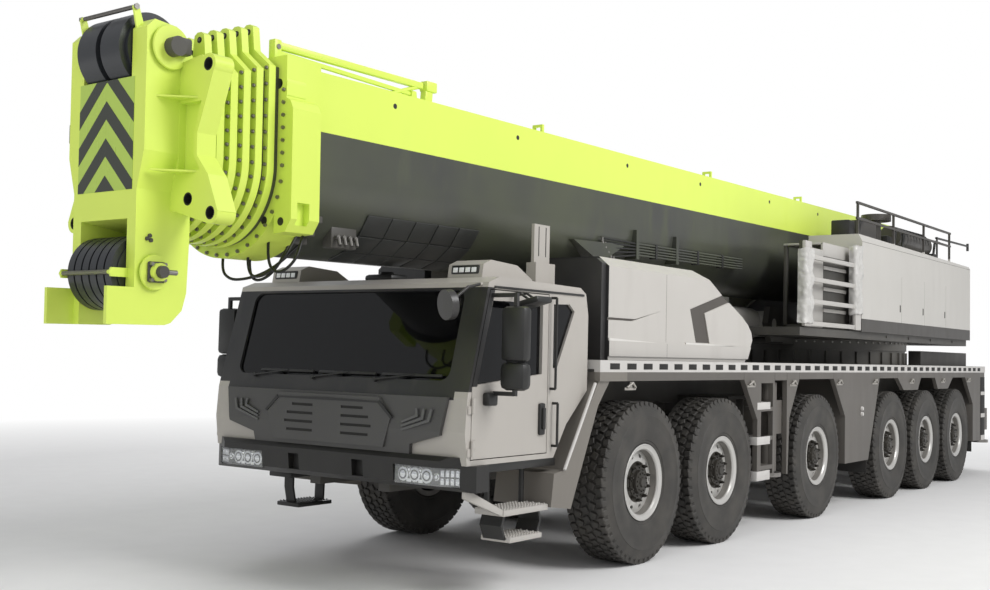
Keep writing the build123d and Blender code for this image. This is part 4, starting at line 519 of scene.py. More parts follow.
def slab(bm, points, push, material=0, edge=0.0):
    """Add a flat plate: the outline's points in 3-D, thickened along push."""
    face = bm.faces.new([bm.verts.new(p) for p in points])
    face.material_index = material
    made = bmesh.ops.extrude_face_region(bm, geom=[face])["geom"]
    moved = [v for v in made if isinstance(v, bmesh.types.BMVert)]
    bmesh.ops.translate(bm, vec=push, verts=moved)
    if edge:
        verts = {v for e in moved for f in e.link_faces for v in f.verts}
        edges = list({e for v in verts for e in v.link_edges})
        bmesh.ops.bevel(bm, geom=edges, offset=edge, offset_type="OFFSET", segments=2, profile=0.5,
                        affect="EDGES", material=-1, clamp_overlap=True)


# black border printed round the windscreen, with three wipers parked on it
bm = bmesh.new()
border(bm, [(-1.262, 0.008, 0.0), (1.262, 0.008, 0.0), (1.262, 0.822, 0.0), (-1.262, 0.822, 0.0)], 0.13, 0.095,
       (0, 0, 0.005))
for pivot, tip in ((-0.95, -0.28), (-0.25, 0.42), (0.45, 1.10)):
    rod(bm, (pivot, 0.030, 0.0), (pivot, 0.030, 0.028), 0.018, 0, 16)
    rod(bm, (pivot, 0.030, 0.022), (pivot + 0.40, 0.082, 0.016), 0.009, 0, 10, tip=0.006)
    block(bm, (pivot + 0.06, 0.070, -0.014), (tip + 0.02, 0.092, 0.012), 0.004)
piece("screen_border_and_wipers", bm, "carrier", "dark_plastic", moulded_black_and_shade, place=STATIONS @ SCREEN)

# rubber round the side windows, window glass in the doors, gutters, handles, grab rails and mirrors
CAB_SIDE = 1.3995
for side, sign in SIDES:
    bm = bmesh.new()
    border(bm, [(x, sign * CAB_SIDE, z) for x, z in ((1.485, 1.765), (1.485, 2.350), (1.205, 2.360),
                                                   (1.105, 2.275), (1.385, 1.765))],
           0.03, 0.026, (0, sign * 0.006, 0))
    side_block(bm, sign, (1.00, 1.396, 2.408), (2.30, 1.410, 2.426), 0.003)
    for x, low, high in ((1.495, 1.62, 2.37), (1.455, 1.15, 1.50)):
        rod(bm, (x, sign * 1.452, low), (x, sign * 1.452, high), 0.011)
        for z in (low, high):
            rod(bm, (x, sign * 1.395, z), (x, sign * 1.452, z), 0.011)
    side_block(bm, sign, (1.40, 1.34, 0.985), (2.50, 1.402, 1.052), 0.008)
    piece(f"cab_side_trim_{side}", bm, "carrier", "dark_plastic", moulded_black_and_shade)

    bm = bmesh.new()
    border(bm, [(x, sign * CAB_SIDE, z) for x, z in ((2.523, 1.628), (2.334, 2.342), (1.590, 2.352),
                                                   (1.590, 1.714))], 0.03, 0.032, (0, sign * 0.006, 0))
    side_block(bm, sign, (1.585, 1.396, 1.245), (1.665, 1.424, 1.505), 0.022)
    side_block(bm, sign, (1.605, 1.42, 1.29), (1.645, 1.444, 1.47), 0.01)
    side_block(bm, sign, (2.30, 1.396, 1.50), (2.42, 1.462, 1.60), 0.015)
    # mirror shells: main, wide-angle below it, and the kerb mirror over the window
    side_block(bm, sign, (2.255, 1.512, 1.842), (2.365, 1.738, 2.262), 0.035)
    side_block(bm, sign, (2.245, 1.506, 1.622), (2.372, 1.742, 1.838), 0.048)
    side_block(bm, sign, (1.90, 1.47, 2.285), (2.11, 1.68, 2.335), 0.016, turn=tilt(sign * 14, "X"))
    for x in (1.96, 2.06):
        rod(bm, (x, sign * 1.398, 2.372), (x, sign * 1.47, 2.382), 0.010)
        rod(bm, (x, sign * 1.47, 2.382), (x, sign * 1.575, 2.322), 0.010)
    for z in (1.595, 2.350):
        rod(bm, (2.315, sign * 1.40, z), (2.315, sign * 1.62, z), 0.017)
    piece(f"door_trim_and_mirrors_{side}", bm, f"door_{side}", "dark_plastic", moulded_black_and_shade)

    bm = bmesh.new()
    slab(bm, [(x, sign * 1.366, z) for x, z in ((2.489, 1.661), (2.3095, 2.309), (1.621, 2.319),
                                                (1.621, 1.741))], (0, sign * 0.005, 0))
    piece(f"door_window_{side}", bm, f"door_{side}", "glass", glass_tint_and_cab_shade)
    # silvered glass: a clean mirror
    silvered = painted(f"silvered_glass_{side}", "d4d7da", "c2c5c8", gloss=0.12, metal=1.0, grime=0.05)
    bm = bmesh.new()
    side_block(bm, sign, (2.2525, 1.54, 1.868), (2.2565, 1.71, 2.236), 0.001)
    side_block(bm, sign, (2.2425, 1.54, 1.652), (2.2465, 1.71, 1.806), 0.001)
    piece(f"mirror_faces_{side}", bm, f"door_{side}", "chrome", silvered)

# roof lamps: four LEDs in a dark housing on the front of each pod, with the beacon's socket between
# them; the white chips show through clear lenses and look bright even while unlit
lamp_white = painted("lamp_white", "f4f5f6", "d0d0ce", gloss=0.15, grime=0.05)
RAKE, POD_Y = tilt(-8, "Y"), 1.025
bm = bmesh.new()
for side in (-1, 1):
    block(bm, (2.150, side * POD_Y - 0.140, 2.528), (2.199, side * POD_Y + 0.140, 2.602), 0.012, turn=RAKE)
    for count in range(4):
        y = side * POD_Y + (count - 1.5) * 0.062
        block(bm, (2.196, y - 0.024, 2.545), (2.203, y + 0.024, 2.585), 0.006, 1, turn=RAKE)
block(bm, (1.86, -0.16, 2.492), (2.10, 0.16, 2.560), 0.03)
rod(bm, (1.98, 0, 2.555), (1.98, 0, 2.585), 0.07, 0, 24, tip=0.055)
piece("roof_lamps", bm, "carrier", "dark_plastic", moulded_black_and_shade, lamp_white)

# headlamps: moulded cups whose aluminium coat mirrors all that is round them; the polycarbonate cover
# wraps round the bumper's corner and shows little but its highlights
lamp_chrome = painted("vapour_chrome", "e6e8ea", "c8cacc", gloss=0.1, metal=1.0, grime=0.05)
clear_cover = clouded("clear_polycarbonate", "dfe3e6", "ffffff", 12.0, 2.0, Roughness=0.05, Alpha=0.16)
bm = bmesh.new()
slab(bm, [(2.6506, 0.750, 0.889), (2.6506, 1.186, 0.889), (2.5920, 1.336, 0.889), (2.5940, 1.3375, 0.889),
          (2.6530, 1.188, 0.889), (2.6530, 0.750, 0.889)], (0, 0, 0.136), 2)
for y, z, size in ((0.822, 0.957, 0.056), (0.940, 0.957, 0.058), (1.060, 0.957, 0.058),
                   (1.155, 0.957, 0.030), (0.884, 0.995, 0.026), (1.000, 0.995, 0.026)):
    rod(bm, (2.6525, y, z), (2.6565, y, z), size, 0, 28, tip=size * 0.82)
    rod(bm, (2.6560, y, z), (2.6580, y, z), size * 0.70, 2, 24)
    rod(bm, (2.6575, y, z), (2.6620, y, z), size * 0.52, 0, 24, tip=size * 0.3)
for y in (0.882, 1.000):
    block(bm, (2.652, y - 0.022, 0.900), (2.657, y + 0.022, 0.925), 0.003, 1)
BEND, CORNER = Vector((2.6530, 1.188, 0.0)), Vector((2.5940, 1.3375, 0.0))
for count in range(4):
    # facets of the side lamp on the raked corner
    spot = BEND.lerp(CORNER, (count + 0.5) / 4)
    for z in (0.925, 0.985):
        verts = block(bm, (-0.002, -0.014, -0.024), (0.003, 0.014, 0.024), 0.002, 0)
        swing(bm, verts, math.radians(21.5), "Z")
        bmesh.ops.translate(bm, verts=verts, vec=(spot.x, spot.y, z))
slab(bm, [(2.6590, 0.746, 0.887), (2.6590, 1.190, 0.887), (2.5990, 1.341, 0.887), (2.6030, 1.3430, 0.887),
          (2.6650, 1.191, 0.887), (2.6650, 0.746, 0.887)], (0, 0, 0.140), 3, 0.002)
mirrored(bm)
piece("headlamps", bm, "carrier", "chrome", lamp_chrome, lamp_white, dark_rubber_and_shade, clear_cover)

# fins in the mask, a little lighter than the mask as a painted highlight on their raised faces, the ridge
# over the louvres, and the louvres' throats as flat near-black strips of painted shade; the mask is
# pressed sheet in a satin mid grey
mask_fin_highlight = painted("mask_fin_highlight", "5a5a59", "6f6b66", gloss=0.42, grime=0.15)
MASK_X = 2.6655
bm = bmesh.new()
for rise, reach_out, tip in ((0.0, 1.090, 1.116), (0.030, 1.030, 1.040), (0.060, 0.975, 0.966)):
    slab(bm, [(MASK_X, 0.812, 1.288 + rise), (MASK_X, reach_out, 1.368 + rise * 0.6),
              (MASK_X - 0.004, tip, 1.466), (MASK_X - 0.004, tip - 0.022, 1.466),
              (MASK_X, reach_out - 0.022, 1.384 + rise * 0.6), (MASK_X, 0.806, 1.303 + rise)], (0.014, 0, 0))
for ridge in (((0.0, 1.493), (0.560, 1.493), (0.578, 1.505), (0.0, 1.513)),
              ((0.560, 1.493), (0.700, 1.375), (0.718, 1.387), (0.578, 1.513))):
    slab(bm, [(MASK_X + 0.0083, y, z) for y, z in ridge], (0.008, 0, 0), 1)
# louvres' throats: flat dark strips, painted shade
for half, z in ((0.400, 1.445), (0.460, 1.375), (0.490, 1.305), (0.460, 1.235)):
    block(bm, (MASK_X + 0.0015, 0.161, z - 0.0105), (MASK_X + 0.0035, half - 0.001, z + 0.0105), 0.0, 2)
mirrored(bm)
piece("mask_fins", bm, "carrier", "dark_plastic", mask_fin_highlight, moulded_black_and_shade, dark_rubber_and_shade)

# boarding steps: cast treads on bent steel hangers, held by an arm from the bumper's left end; the
# aluminium casting is pale, rough and half metallic. The right-hand treads are dark, as painted shade
alloy = painted("cast_alloy", "bdb9b3", "8d867e", gloss=0.4, metal=0.2, grime=0.2)
bm = bmesh.new()
# (side, tread's material, treads, bent hangers, the heights of their bends, their inner edge and
# width, rods up to the cab)
STEPS = ((1, 0, ((1.58, 2.19, 0.640, 0.690, 15), (1.66, 2.10, 0.428, 0.470, 11)),
          ((1.640, 1.612, 1.668), (2.110, 2.146, 2.092)), (0.645, 0.560, 0.448), 1.205, 0.21, (1.640, 2.110)),
         # the right side: its treads in the dark plastic's colour, painted shade
         (-1, 1, ((1.575, 1.92, 0.710, 0.755, 9), (1.37, 1.81, 0.428, 0.466, 11)),
          ((1.345, 1.385, 1.390), (1.790, 1.790, 1.752)), (0.715, 0.610, 0.448), 1.255, 0.11, (1.640, 1.860)))
TREAD_Y = (1.17, 1.46)
for side, tread, treads, hangers, heights, inner, wide, rods in STEPS:
    for low, high, bottom, top, rows in treads:
        side_block(bm, side, (low, TREAD_Y[0], bottom), (high, TREAD_Y[1], top), 0.008, tread)
        for row in range(rows):
            for y in (1.21, 1.27, 1.33, 1.39, 1.44):
                x = low + 0.03 + (high - low - 0.06) * row / (rows - 1)
                rod(bm, (x, side * y, top - 0.001), (x, side * y, top + 0.009), 0.009, tread, 8, tip=0.005)
    for bends in hangers:
        path = list(zip(bends, heights))
        path += [(x + 0.022, z) for x, z in path[::-1]]
        slab(bm, [(x, side * inner, z) for x, z in path], (0, side * wide, 0), 1)
    for x in rods:
        rod(bm, (x, side * 1.23, treads[0][3] - 0.01), (x, side * 1.23, 0.998), 0.022, 1, 12)
slab(bm, [(2.185, 1.415, 0.640), (2.185, 1.415, 0.690), (2.535, 1.335, 0.868), (2.562, 1.330, 0.868),
          (2.562, 1.330, 0.800)], (0, 0.035, 0), 0, 0.004)
steps = piece("boarding_steps", bm, "carrier", "steel", alloy, moulded_black_and_shade)
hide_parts("cab_steps")

bm = bmesh.new()
for x in (1.03, 1.14):
    # slots in both faces of the bracket behind the roof: flat dark strips of painted shade
    for y in (0.9835, 1.0145):
        block(bm, (x - 0.006, y, 2.76), (x + 0.006, y + 0.002, 3.02), 0.0006)
piece("bracket_slots", bm, "carrier", "dark_plastic", dark_rubber_and_shade)

# ---------------------------------------------------------------- engine housing
# A sheet steel hood behind the cab on each side of the boom, its front a dark cooling air duct. The
# pressed recess and the groove in each side are dark brown-grey slabs of painted shade, with a painted
# highlight along the lower band's lip.
finish_nodes(painted("housing_enamel", "c2beb8", "8d867e", gloss=0.34, second="2e2e2f", grime=0.2,
                     zones=[[beyond(1, 0, 0, 0.5285)]]), "pale_paint", "engine_housing")
recess_shade_and_seam = painted("recess_shade_and_seam", "4f4a45", "6f6a63", gloss=0.5, grime=0.2)
ridge_painted_highlight = painted("ridge_painted_highlight", "dad7d2", "a39d95", gloss=0.34, grime=0.1)
LINING_Y = 1.3575
bm = bmesh.new()
for near, far in (((0.528, 2.052), (-0.42, 2.036)), ((-0.96, 2.040), (-2.10, 2.040))):
    # painted highlight along the lower band's lip
    slab(bm, [(near[0], 1.3695, near[1] + 0.012), (far[0], 1.3695, far[1]), (near[0], 1.3695, near[1] - 0.014)],
         (0, 0.0135, 0), 1)
# pressed recess and groove: dark slabs of painted shade
slab(bm, [(x, LINING_Y, z) for x, z in ((-1.068, 2.385), (-1.812, 2.564), (-1.960, 2.500), (-1.400, 2.367),
                                     (-1.520, 2.058), (-1.198, 2.058))], (0, 0.003, 0))
slab(bm, [(x, LINING_Y, z) for x, z in ((0.529, 2.229), (0.529, 2.247), (0.040, 2.247), (-0.440, 2.340),
                                     (0.108, 2.229))], (0, 0.002, 0))
# a thin dark seam down the side and across the lower band
block(bm, (-0.563, 1.3692, 2.045), (-0.559, 1.3706, 2.705))
block(bm, (-0.563, 1.3835, 1.90), (-0.559, 1.3846, 2.033))
mirrored(bm)
piece("housing_recess_lining", bm, "carrier", "dark_plastic", recess_shade_and_seam, ridge_painted_highlight)

# ---------------------------------------------------------------- superstructure
# The slewing ring is bolted down all round; the floor frame on it carries the machinery house, the
# stairs and the operator's cab. The house is pale sheet steel over a dark plinth.
finish_nodes(frame_enamel, "frame_paint", "turntable")
house_enamel = painted("house_enamel", "45423e", "6f6a63", gloss=0.4, second="c4c1bb", grime=0.1,
                       zones=[[beyond(0, 0, 1, 2.47), beyond(0, 0, -1, -3.603)]])
crane_cab_enamel = painted("crane_cab_enamel", "c4c1bb", "8d867e", gloss=0.34, grime=0.1)
stair_enamel = painted("stair_enamel", "b9b6b1", "8d867e", gloss=0.45, grime=0.15)
finish_nodes(house_enamel, "pale_paint", "machinery_house")
finish_nodes(crane_cab_enamel, "pale_paint", "crane_cab", "crane_cab_door")
finish_nodes(bare_steel, "steel", "hoist_winch")

SLEW = Vector((-7.7, 0, 0))
RING_BOLTS, RIBS = 72, 40
bm = bmesh.new()
middle = SLEW + Vector((0, 0, 2.172))
for count in range(RING_BOLTS):
    turn = math.tau * count / RING_BOLTS
    out = Vector((math.cos(turn), math.sin(turn), 0))
    rod(bm, middle + out * 1.418, middle + out * 1.434, 0.013, 0, 6)
piece("slewing_ring_bolts", bm, "superstructure", "steel", bare_steel)
bm = bmesh.new()
for count in range(RIBS):
    verts = block(bm, (1.385, -0.012, 1.868), (1.432, 0.012, 2.040), 0.003)
    swing(bm, verts, math.tau * (count + 0.5) / RIBS, "Z")
    bmesh.ops.translate(bm, verts=verts, vec=SLEW)
piece("slewing_ring_ribs", bm, "carrier", "frame_paint", frame_enamel)

bm = bmesh.new()
for side, sign in SIDES:
    # blank plate, door pulls and hinge pins on the house's doors
    if sign > 0:
        border(bm, [(x, 1.4995, z) for x, z in ((-6.44, 3.415), (-7.02, 3.400), (-7.02, 3.480),
                                                (-6.44, 3.498))], 0.008, 0.010, (0, 0.003, 0))
    for x in (-7.36, -8.45, -9.60):
        side_block(bm, sign, (x - 0.02, 1.496, 2.62), (x + 0.02, 1.504, 2.72), 0.003)
    for x in (-6.9, -7.9, -9.0, -10.2):
        rod(bm, (x, sign * 1.449, 2.255), (x, sign * 1.462, 2.255), 0.018, 0, 6)
    # lip of the lid over the doors
    slab(bm, [(-5.752, sign * 1.4985, 3.497), (-11.098, sign * 1.4985, 3.494), (-11.098, sign * 1.4985, 3.490),
              (-5.752, sign * 1.4985, 3.493)], (0, sign * 0.003, 0))
piece("house_trim", bm, "superstructure", "frame_paint", frame_enamel)

bm = bmesh.new()
rod(bm, (-10.10, 1.22, 3.955), (-12.02, 1.22, 3.985), 0.018, 0, 12)
rod(bm, (-12.02, 1.22, 3.90), (-12.02, 1.22, 4.03), 0.022, 0, 12)
rod(bm, (-10.15, 1.22, 3.60), (-10.15, 1.22, 3.975), 0.016, 0, 12)
block(bm, (-10.22, 1.17, 3.52), (-10.08, 1.27, 3.62), 0.008)
for x, y, z, wide, deep, high in ((-7.85, 1.02, 3.56, 0.26, 0.22, 0.20), (-9.95, 1.05, 3.50, 0.20, 0.24, 0.17),
                                  (-6.15, 1.0, 3.58, 0.22, 0.26, 0.24)):
    block(bm, (x, y, z), (x + wide, y + deep, z + high), 0.02)
for x in (-6.20, -7.72, -8.10, -9.70):
    rod(bm, (x, 1.28, 3.55), (x - 0.05, 1.30, 3.86), 0.020, 0, 12)
    rod(bm, (x - 0.05, 1.30, 3.86), (x - 0.30, 1.30, 3.86), 0.020, 0, 12)
for count in range(9):
    # bands round the silencer's lagging
    x, z = -8.30 - 0.15 * count, 3.7885 + count * 0.0014
    rod(bm, (x, 1.10, z), (x - 0.02, 1.10, z), 0.173, 0, 32)
piece("roof_fittings", bm, "superstructure", "dark_plastic", moulded_black_and_shade)

# stairs: folded posts, treads with upturned nosings and rows of studs, a dark panel behind them
# height of the superstructure's floor and stations of the rear post, the treads' rear ends and the
# panel's front end
FLOOR, POST_REAR, TREAD_REAR, PANEL_END = 2.312, -5.735, -5.535, -4.740
bm = bmesh.new()
for low, high, top, web in ((-3.990, -3.790, 3.335, 1), (POST_REAR, -5.530, 3.430, 0)):
    block(bm, (low, 1.450, FLOOR), (high, 1.4985, top), 0.010)
    block(bm, (low, 1.340, FLOOR), (low + 0.020, 1.455, top + 0.02), 0.004, web)
for z in (2.33, 2.60, 2.87, 3.14):
    block(bm, (TREAD_REAR, 1.392, z), (-3.985, 1.480, z + 0.028), 0.006)
    block(bm, (TREAD_REAR, 1.462, z - 0.010), (-3.985, 1.484, z + 0.046), 0.006)
    block(bm, (TREAD_REAR, 1.345, z - 0.085), (PANEL_END, 1.365, z - 0.040), 0.005)
    for row in range(20):
        x = -5.50 + row * 0.0785
        rod(bm, (x, 1.43, z + 0.026), (x, 1.43, z + 0.034), 0.012, 0, 8, tip=0.008)
block(bm, (-4.750, 1.315, FLOOR), (-4.200, 1.348, 3.300), 0.006)
block(bm, (POST_REAR, 1.315, 3.225), (PANEL_END, 1.348, 3.400), 0.006)
block(bm, (POST_REAR, 0.820, 3.372), (PANEL_END, 1.345, 3.400), 0.006)
block(bm, (-5.720, 1.318, FLOOR), (PANEL_END, 1.340, 3.240), 0.004, 1)
for x in (-5.62, -4.80):
    block(bm, (x, 0.82, FLOOR), (x + 0.05, 1.33, 2.360), 0.005, 1)
    block(bm, (x, 0.82, FLOOR), (x + 0.05, 0.87, 3.380), 0.005, 1)
stairs = piece("stairs", bm, "superstructure", "pale_paint", stair_enamel, frame_enamel)
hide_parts("access_stairs")

# blown polythene film left on from delivery: milky, crumpled and half glossy
film = clouded("polythene_film", "a9a7a3", "d6d4d0", 9.0, 5.0, Roughness=0.32)
coords = add_node(film.node_tree, "TexCoord").outputs["Object"]
relief(film.node_tree, coords, 26.0, 5.0, 0.55, 0.012, rough=0.65)
FILM_WIDE, FILM_LONG, FILM_COLUMNS, FILM_ROWS = 0.42, 1.00, 22, 60
POST_HALF = 0.104
for number, (x, foot) in enumerate(((-3.890, 2.345), (-5.6325, 2.520)), start=1):
    bm = bmesh.new()
    bmesh.ops.create_grid(bm, x_segments=FILM_COLUMNS, y_segments=FILM_ROWS, size=0.5)
    for vert in bm.verts:
        # across the film: over the post's face, then round its edges
        across, down = vert.co.x * FILM_WIDE, vert.co.y + 0.5
        fold = noise.noise(Vector((across * 8, down * 6.0, number * 5.0)))
        crumple = noise.noise(Vector((across * 26, down * 20.0, number * 9.0)))
        swell = 0.005 + 0.040 * max(0.0, fold + 0.10) + 0.009 * crumple
        over = max(0.0, abs(across) - POST_HALF)
        turn = min(1.0, over / 0.03) * math.pi / 2
        reach = min(abs(across), POST_HALF) + math.sin(turn) * (0.012 + swell)
        vert.co = Vector((x + math.copysign(reach, across),
                          1.503 + math.cos(turn) * swell - over * 0.9 + 0.004 * crumple,
                          foot + (FILM_LONG - 0.10) * down + 0.03 * fold))
    sheet = piece(f"film_wrap_{number}", bm, "superstructure", "deck_strip", film, crease=180)

# ---------------------------------------------------------------- boom
# Seven nested U-shaped tubes of high tensile plate. Each section's mouth has a lime collar whose front
# face is bolted all round; the base is lime along its top and dark grey below.
luff = next(j for j in frame["joints"] if j["name"] == "luff")
reach = next(j for j in frame["joints"] if j["name"] == "telescope_1")
FOOT = Vector(luff["pos_m"])
ALONG = Vector(reach["axis"]).normalized()
SQUARE = Vector((-ALONG.z, 0, ALONG.x))
BOOM = Matrix.Translation(FOOT) @ Matrix((ALONG, Vector((0, 1, 0)), SQUARE)).transposed().to_4x4()
BAND_V = 0.40        # lower edge of the lime band, square to the boom from the foot pin
BELLY_V = 0.095      # centre of the sections' round bellies
COLLAR_U = 13.18     # rear of the base's front collar, along the boom
COLLAR_END = 13.52   # its front
HEAD_START = 14.069  # rear of the head's grey tube
LUG_Y = 0.345        # lifting lugs on the collars


def behind(u):
    """A plane of a zone: points nearer the boom's foot than u."""
    return -ALONG, -(FOOT.dot(ALONG) + u)


def lime_coat(name, *grey_beyond):
    """Lime enamel, with dark grey beyond all of the planes."""
    return painted(name, "dcf066", "a9ba55", gloss=0.33, second="434440", grime=0.12,
                   zones=[grey_beyond] if grey_beyond else ())


def mouth(number):
    """Distance from the foot pin to the rear of a section's collar."""
    return 13.56 + (number - 2) * 0.11


def collar_top(number):
    """Height of a collar's shoulders over the foot pin, square to the boom."""
    return 0.845 - (number - 1) * 0.038


below_band = (-SQUARE, -(FOOT.dot(SQUARE) + BAND_V))
finish_nodes(lime_coat("boom_enamel", below_band, behind(COLLAR_U)), "lime_paint", "boom_base")
lime_enamel = lime_coat("lime_enamel")
for number in range(2, 7):
    finish_nodes(lime_coat(f"section_{number}_enamel", behind(mouth(number) - 0.002)), "lime_paint",
                 f"boom_section_{number}")
finish_nodes(lime_coat("head_enamel", behind(HEAD_START)), "lime_paint", "boom_section_7_head")
# cast nylon: dark, close-grained and slightly glossy
sheave_nylon = painted("sheave_nylon", "2f3134", "505256", gloss=0.35, grime=0.15)
finish_nodes(sheave_nylon, "dark_plastic", "upper_sheaves", "lower_sheaves")

# bolts on each collar's front face and the pin in each lug
for number in range(1, 7):
    body = f"boom_section_{number}" if number > 1 else "boom_base"
    front = mouth(number) + 0.062 if number > 1 else COLLAR_END
    half = 0.550 - 0.006 * (number - 2) if number > 1 else 0.622
    top = collar_top(number) - 0.02 if number > 1 else 0.64
    bm = bmesh.new()
    spots = [(sign * half, BELLY_V + (top - BELLY_V) * step / 6) for sign in (1, -1) for step in range(1, 7)]
    spots += [(half * math.cos(turn), BELLY_V - half * math.sin(turn))
              for turn in (math.pi * step / 17 for step in range(18))]
    for y, v in spots:
        rod(bm, (front - 0.001, y, v), (front + 0.016, y, v), 0.0145, 0, 6)
        rod(bm, (front + 0.016, y, v), (front + 0.022, y, v), 0.008, 0, 8)
    piece(f"collar_bolts_{number}", bm, body, "steel", bare_steel, place=BOOM)
for number in range(2, 7):
    bm = bmesh.new()
    start, v = mouth(number), collar_top(number) + 0.265
    for y in (LUG_Y, -LUG_Y):
        rod(bm, (start - 0.003, y, v), (start + 0.065, y, v), 0.022, 0, 20)
        rod(bm, (start + 0.064, y, v), (start + 0.069, y, v), 0.012, 1, 8)
    piece(f"lug_pins_{number}", bm, f"boom_section_{number}", "steel", moulded_black_and_shade, bare_steel, place=BOOM)

# unions, clamps and the long pipes' elbows on the base's left side, and holes in its band
PIPE_Y = 0.606
bm = bmesh.new()
for index in range(5):
    u, v = 9.10 - 0.055 * index, -0.10 - 0.045 * index
    rod(bm, (u, PIPE_Y, v + 0.035), (u, PIPE_Y, v - 0.055), 0.013, 1, 12)
    rod(bm, (u, PIPE_Y, v - 0.010), (u, PIPE_Y, v - 0.030), 0.020, 1, 6)
    rod(bm, (u, PIPE_Y, v + 0.028), (8.42, 0.626, -0.085 - 0.03 * index), 0.010, 0, 10)
for u in (6.35, 7.0, 8.0):
    block(bm, (u, 0.560, -0.225), (u + 0.04, 0.645, -0.065), 0.006)
piece("pipe_unions", bm, "boom_base", "boom_grey", moulded_black_and_shade, bare_steel, place=BOOM)

# holes in the band: flat black discs, painted shade where the openings are
bm = bmesh.new()
for u in (1.6, 3.2, 4.9, 6.9, 8.6, 10.6, 12.3):
    for sign in (1, -1):
        rod(bm, (u, sign * 0.598, 0.73), (u, sign * 0.6012, 0.73), 0.022, 0, 20)
for sign in (1, -1):
    # holes in the front collar's feet and the bore above each pilaster, flat black discs of painted shade
    for y, v in ((0.61, -0.305), (0.44, -0.29)):
        rod(bm, (COLLAR_END - 0.003, sign * y, v), (COLLAR_END + 0.002, sign * y, v), 0.030, 0, 24)
piece("boom_holes", bm, "boom_base", "boom_grey", moulded_black_and_shade, place=BOOM)

# quilted pad under the boom over the cab
# vinyl quilted over foam: dark, soft and dull
pad_vinyl = painted("pad_vinyl", "30312f", "4a4a47", gloss=0.5, grime=0.2)
bm = bmesh.new()
for row, angle in enumerate((20, 38, 56)):
    for column in range(5):
        u = 11.10 + column * 0.29
        verts = block(bm, (u, -0.093, 0.0), (u + 0.280, 0.093, 0.014), 0.010)
        bmesh.ops.translate(bm, verts=verts, vec=(0, 0, 0.599))
        swing(bm, verts, math.radians(angle - 180), "X")
        bmesh.ops.translate(bm, verts=verts, vec=(0, 0, BELLY_V))
piece("belly_pad", bm, "boom_base", "dark_plastic", pad_vinyl, place=BOOM)

# guide tube over the boom's left top edge, on a front lug, a rear bracket with its post and a stay
bm = bmesh.new()
block(bm, (11.76, 0.392, 0.985), (13.41, 0.438, 1.040), 0.008)
block(bm, (13.39, 0.380, 0.846), (13.46, 0.450, 1.050), 0.010)
block(bm, (11.60, 0.372, 0.975), (11.735, 0.458, 1.062), 0.008)
slab(bm, [(11.640, 0.385, 0.980), (11.735, 0.385, 0.980), (11.745, 0.385, 0.846), (11.655, 0.385, 0.846)],
     (0, 0.06, 0), 0, 0.004)
rod(bm, (12.24, 0.415, 0.850), (11.80, 0.415, 1.000), 0.018, 0, 14)
rod(bm, (13.425, 0.374, 0.995), (13.425, 0.456, 0.995), 0.020, 1, 12)
piece("guide_tube", bm, "boom_base", "lime_paint", lime_enamel, bare_steel, place=BOOM)

# hydraulic hoses that loop under the front collar between the belly's unions and a manifold
# smooth synthetic rubber: black with a faint shine
hose_rubber = painted("hose_rubber", "161616", "3b3936", gloss=0.45, grime=0.2)
bm = bmesh.new()
for y, v in ((0.34, -0.405), (0.42, -0.345), (0.50, -0.250)):
    block(bm, (13.02, y - 0.035, v - 0.025), (13.155, y + 0.035, v + 0.03), 0.008)
    rod(bm, (13.15, y, v), (13.185, y, v), 0.019, 1, 6)
block(bm, (12.58, 0.37, -0.44), (12.86, 0.47, -0.27), 0.012)
for count in range(4):
    u = 12.62 + 0.065 * count
    rod(bm, (u, 0.45, -0.36), (u, 0.505, -0.36), 0.022, 1, 6)
    rod(bm, (u, 0.50, -0.36), (u + 0.01, 0.525, -0.42), 0.015, 1, 10)
piece("hose_manifold", bm, "boom_base", "dark_plastic", frame_enamel, bare_steel, place=BOOM)
HOSES = (   # routes: (along the boom, to its left, square to it)
    [(13.30, 0.05, -0.54), (13.30, 0.05, -0.66), (13.32, 0.16, -0.72), (13.30, 0.30, -0.66),
     (13.24, 0.36, -0.52), (13.16, 0.34, -0.405)],
    [(13.38, 0.12, -0.535), (13.38, 0.12, -0.65), (13.40, 0.25, -0.70), (13.37, 0.42, -0.62),
     (13.28, 0.46, -0.48), (13.16, 0.42, -0.345)],
    [(13.40, 0.36, -0.43), (13.42, 0.37, -0.59), (13.42, 0.49, -0.68), (13.38, 0.63, -0.58),
     (13.28, 0.59, -0.40), (13.16, 0.50, -0.250)],
    [(13.34, -0.20, -0.50), (13.36, -0.20, -0.62), (13.38, -0.08, -0.70), (13.36, 0.06, -0.70),
     (13.30, 0.20, -0.66), (13.20, 0.30, -0.56), (13.06, 0.34, -0.42)],
)
for number, route in enumerate(HOSES, start=1):
    curve = bpy.data.curves.new(f"collar_hose_{number}", "CURVE")
    curve.dimensions = "3D"
    curve.bevel_depth = 0.011
    curve.bevel_resolution = 4
    curve.resolution_u = 16
    spline = curve.splines.new("NURBS")
    spline.points.add(len(route) - 1)
    for point, place in zip(spline.points, route):
        point.co = (*(BOOM @ Vector(place)), 1)
    spline.order_u = 3
    spline.use_endpoint_u = True
    curve.materials.append(hose_rubber)
    hose = bpy.data.objects.new(f"collar_hose_{number}", curve)
    bpy.context.collection.objects.link(hose)
    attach(hose, "boom_base")
    line = curve.copy()
    line.bevel_depth = 0
    probe = bpy.data.objects.new("probe", line)
    points = [v.co.copy() for v in bpy.data.meshes.new_from_object(probe).vertices]
    bpy.data.objects.remove(probe)

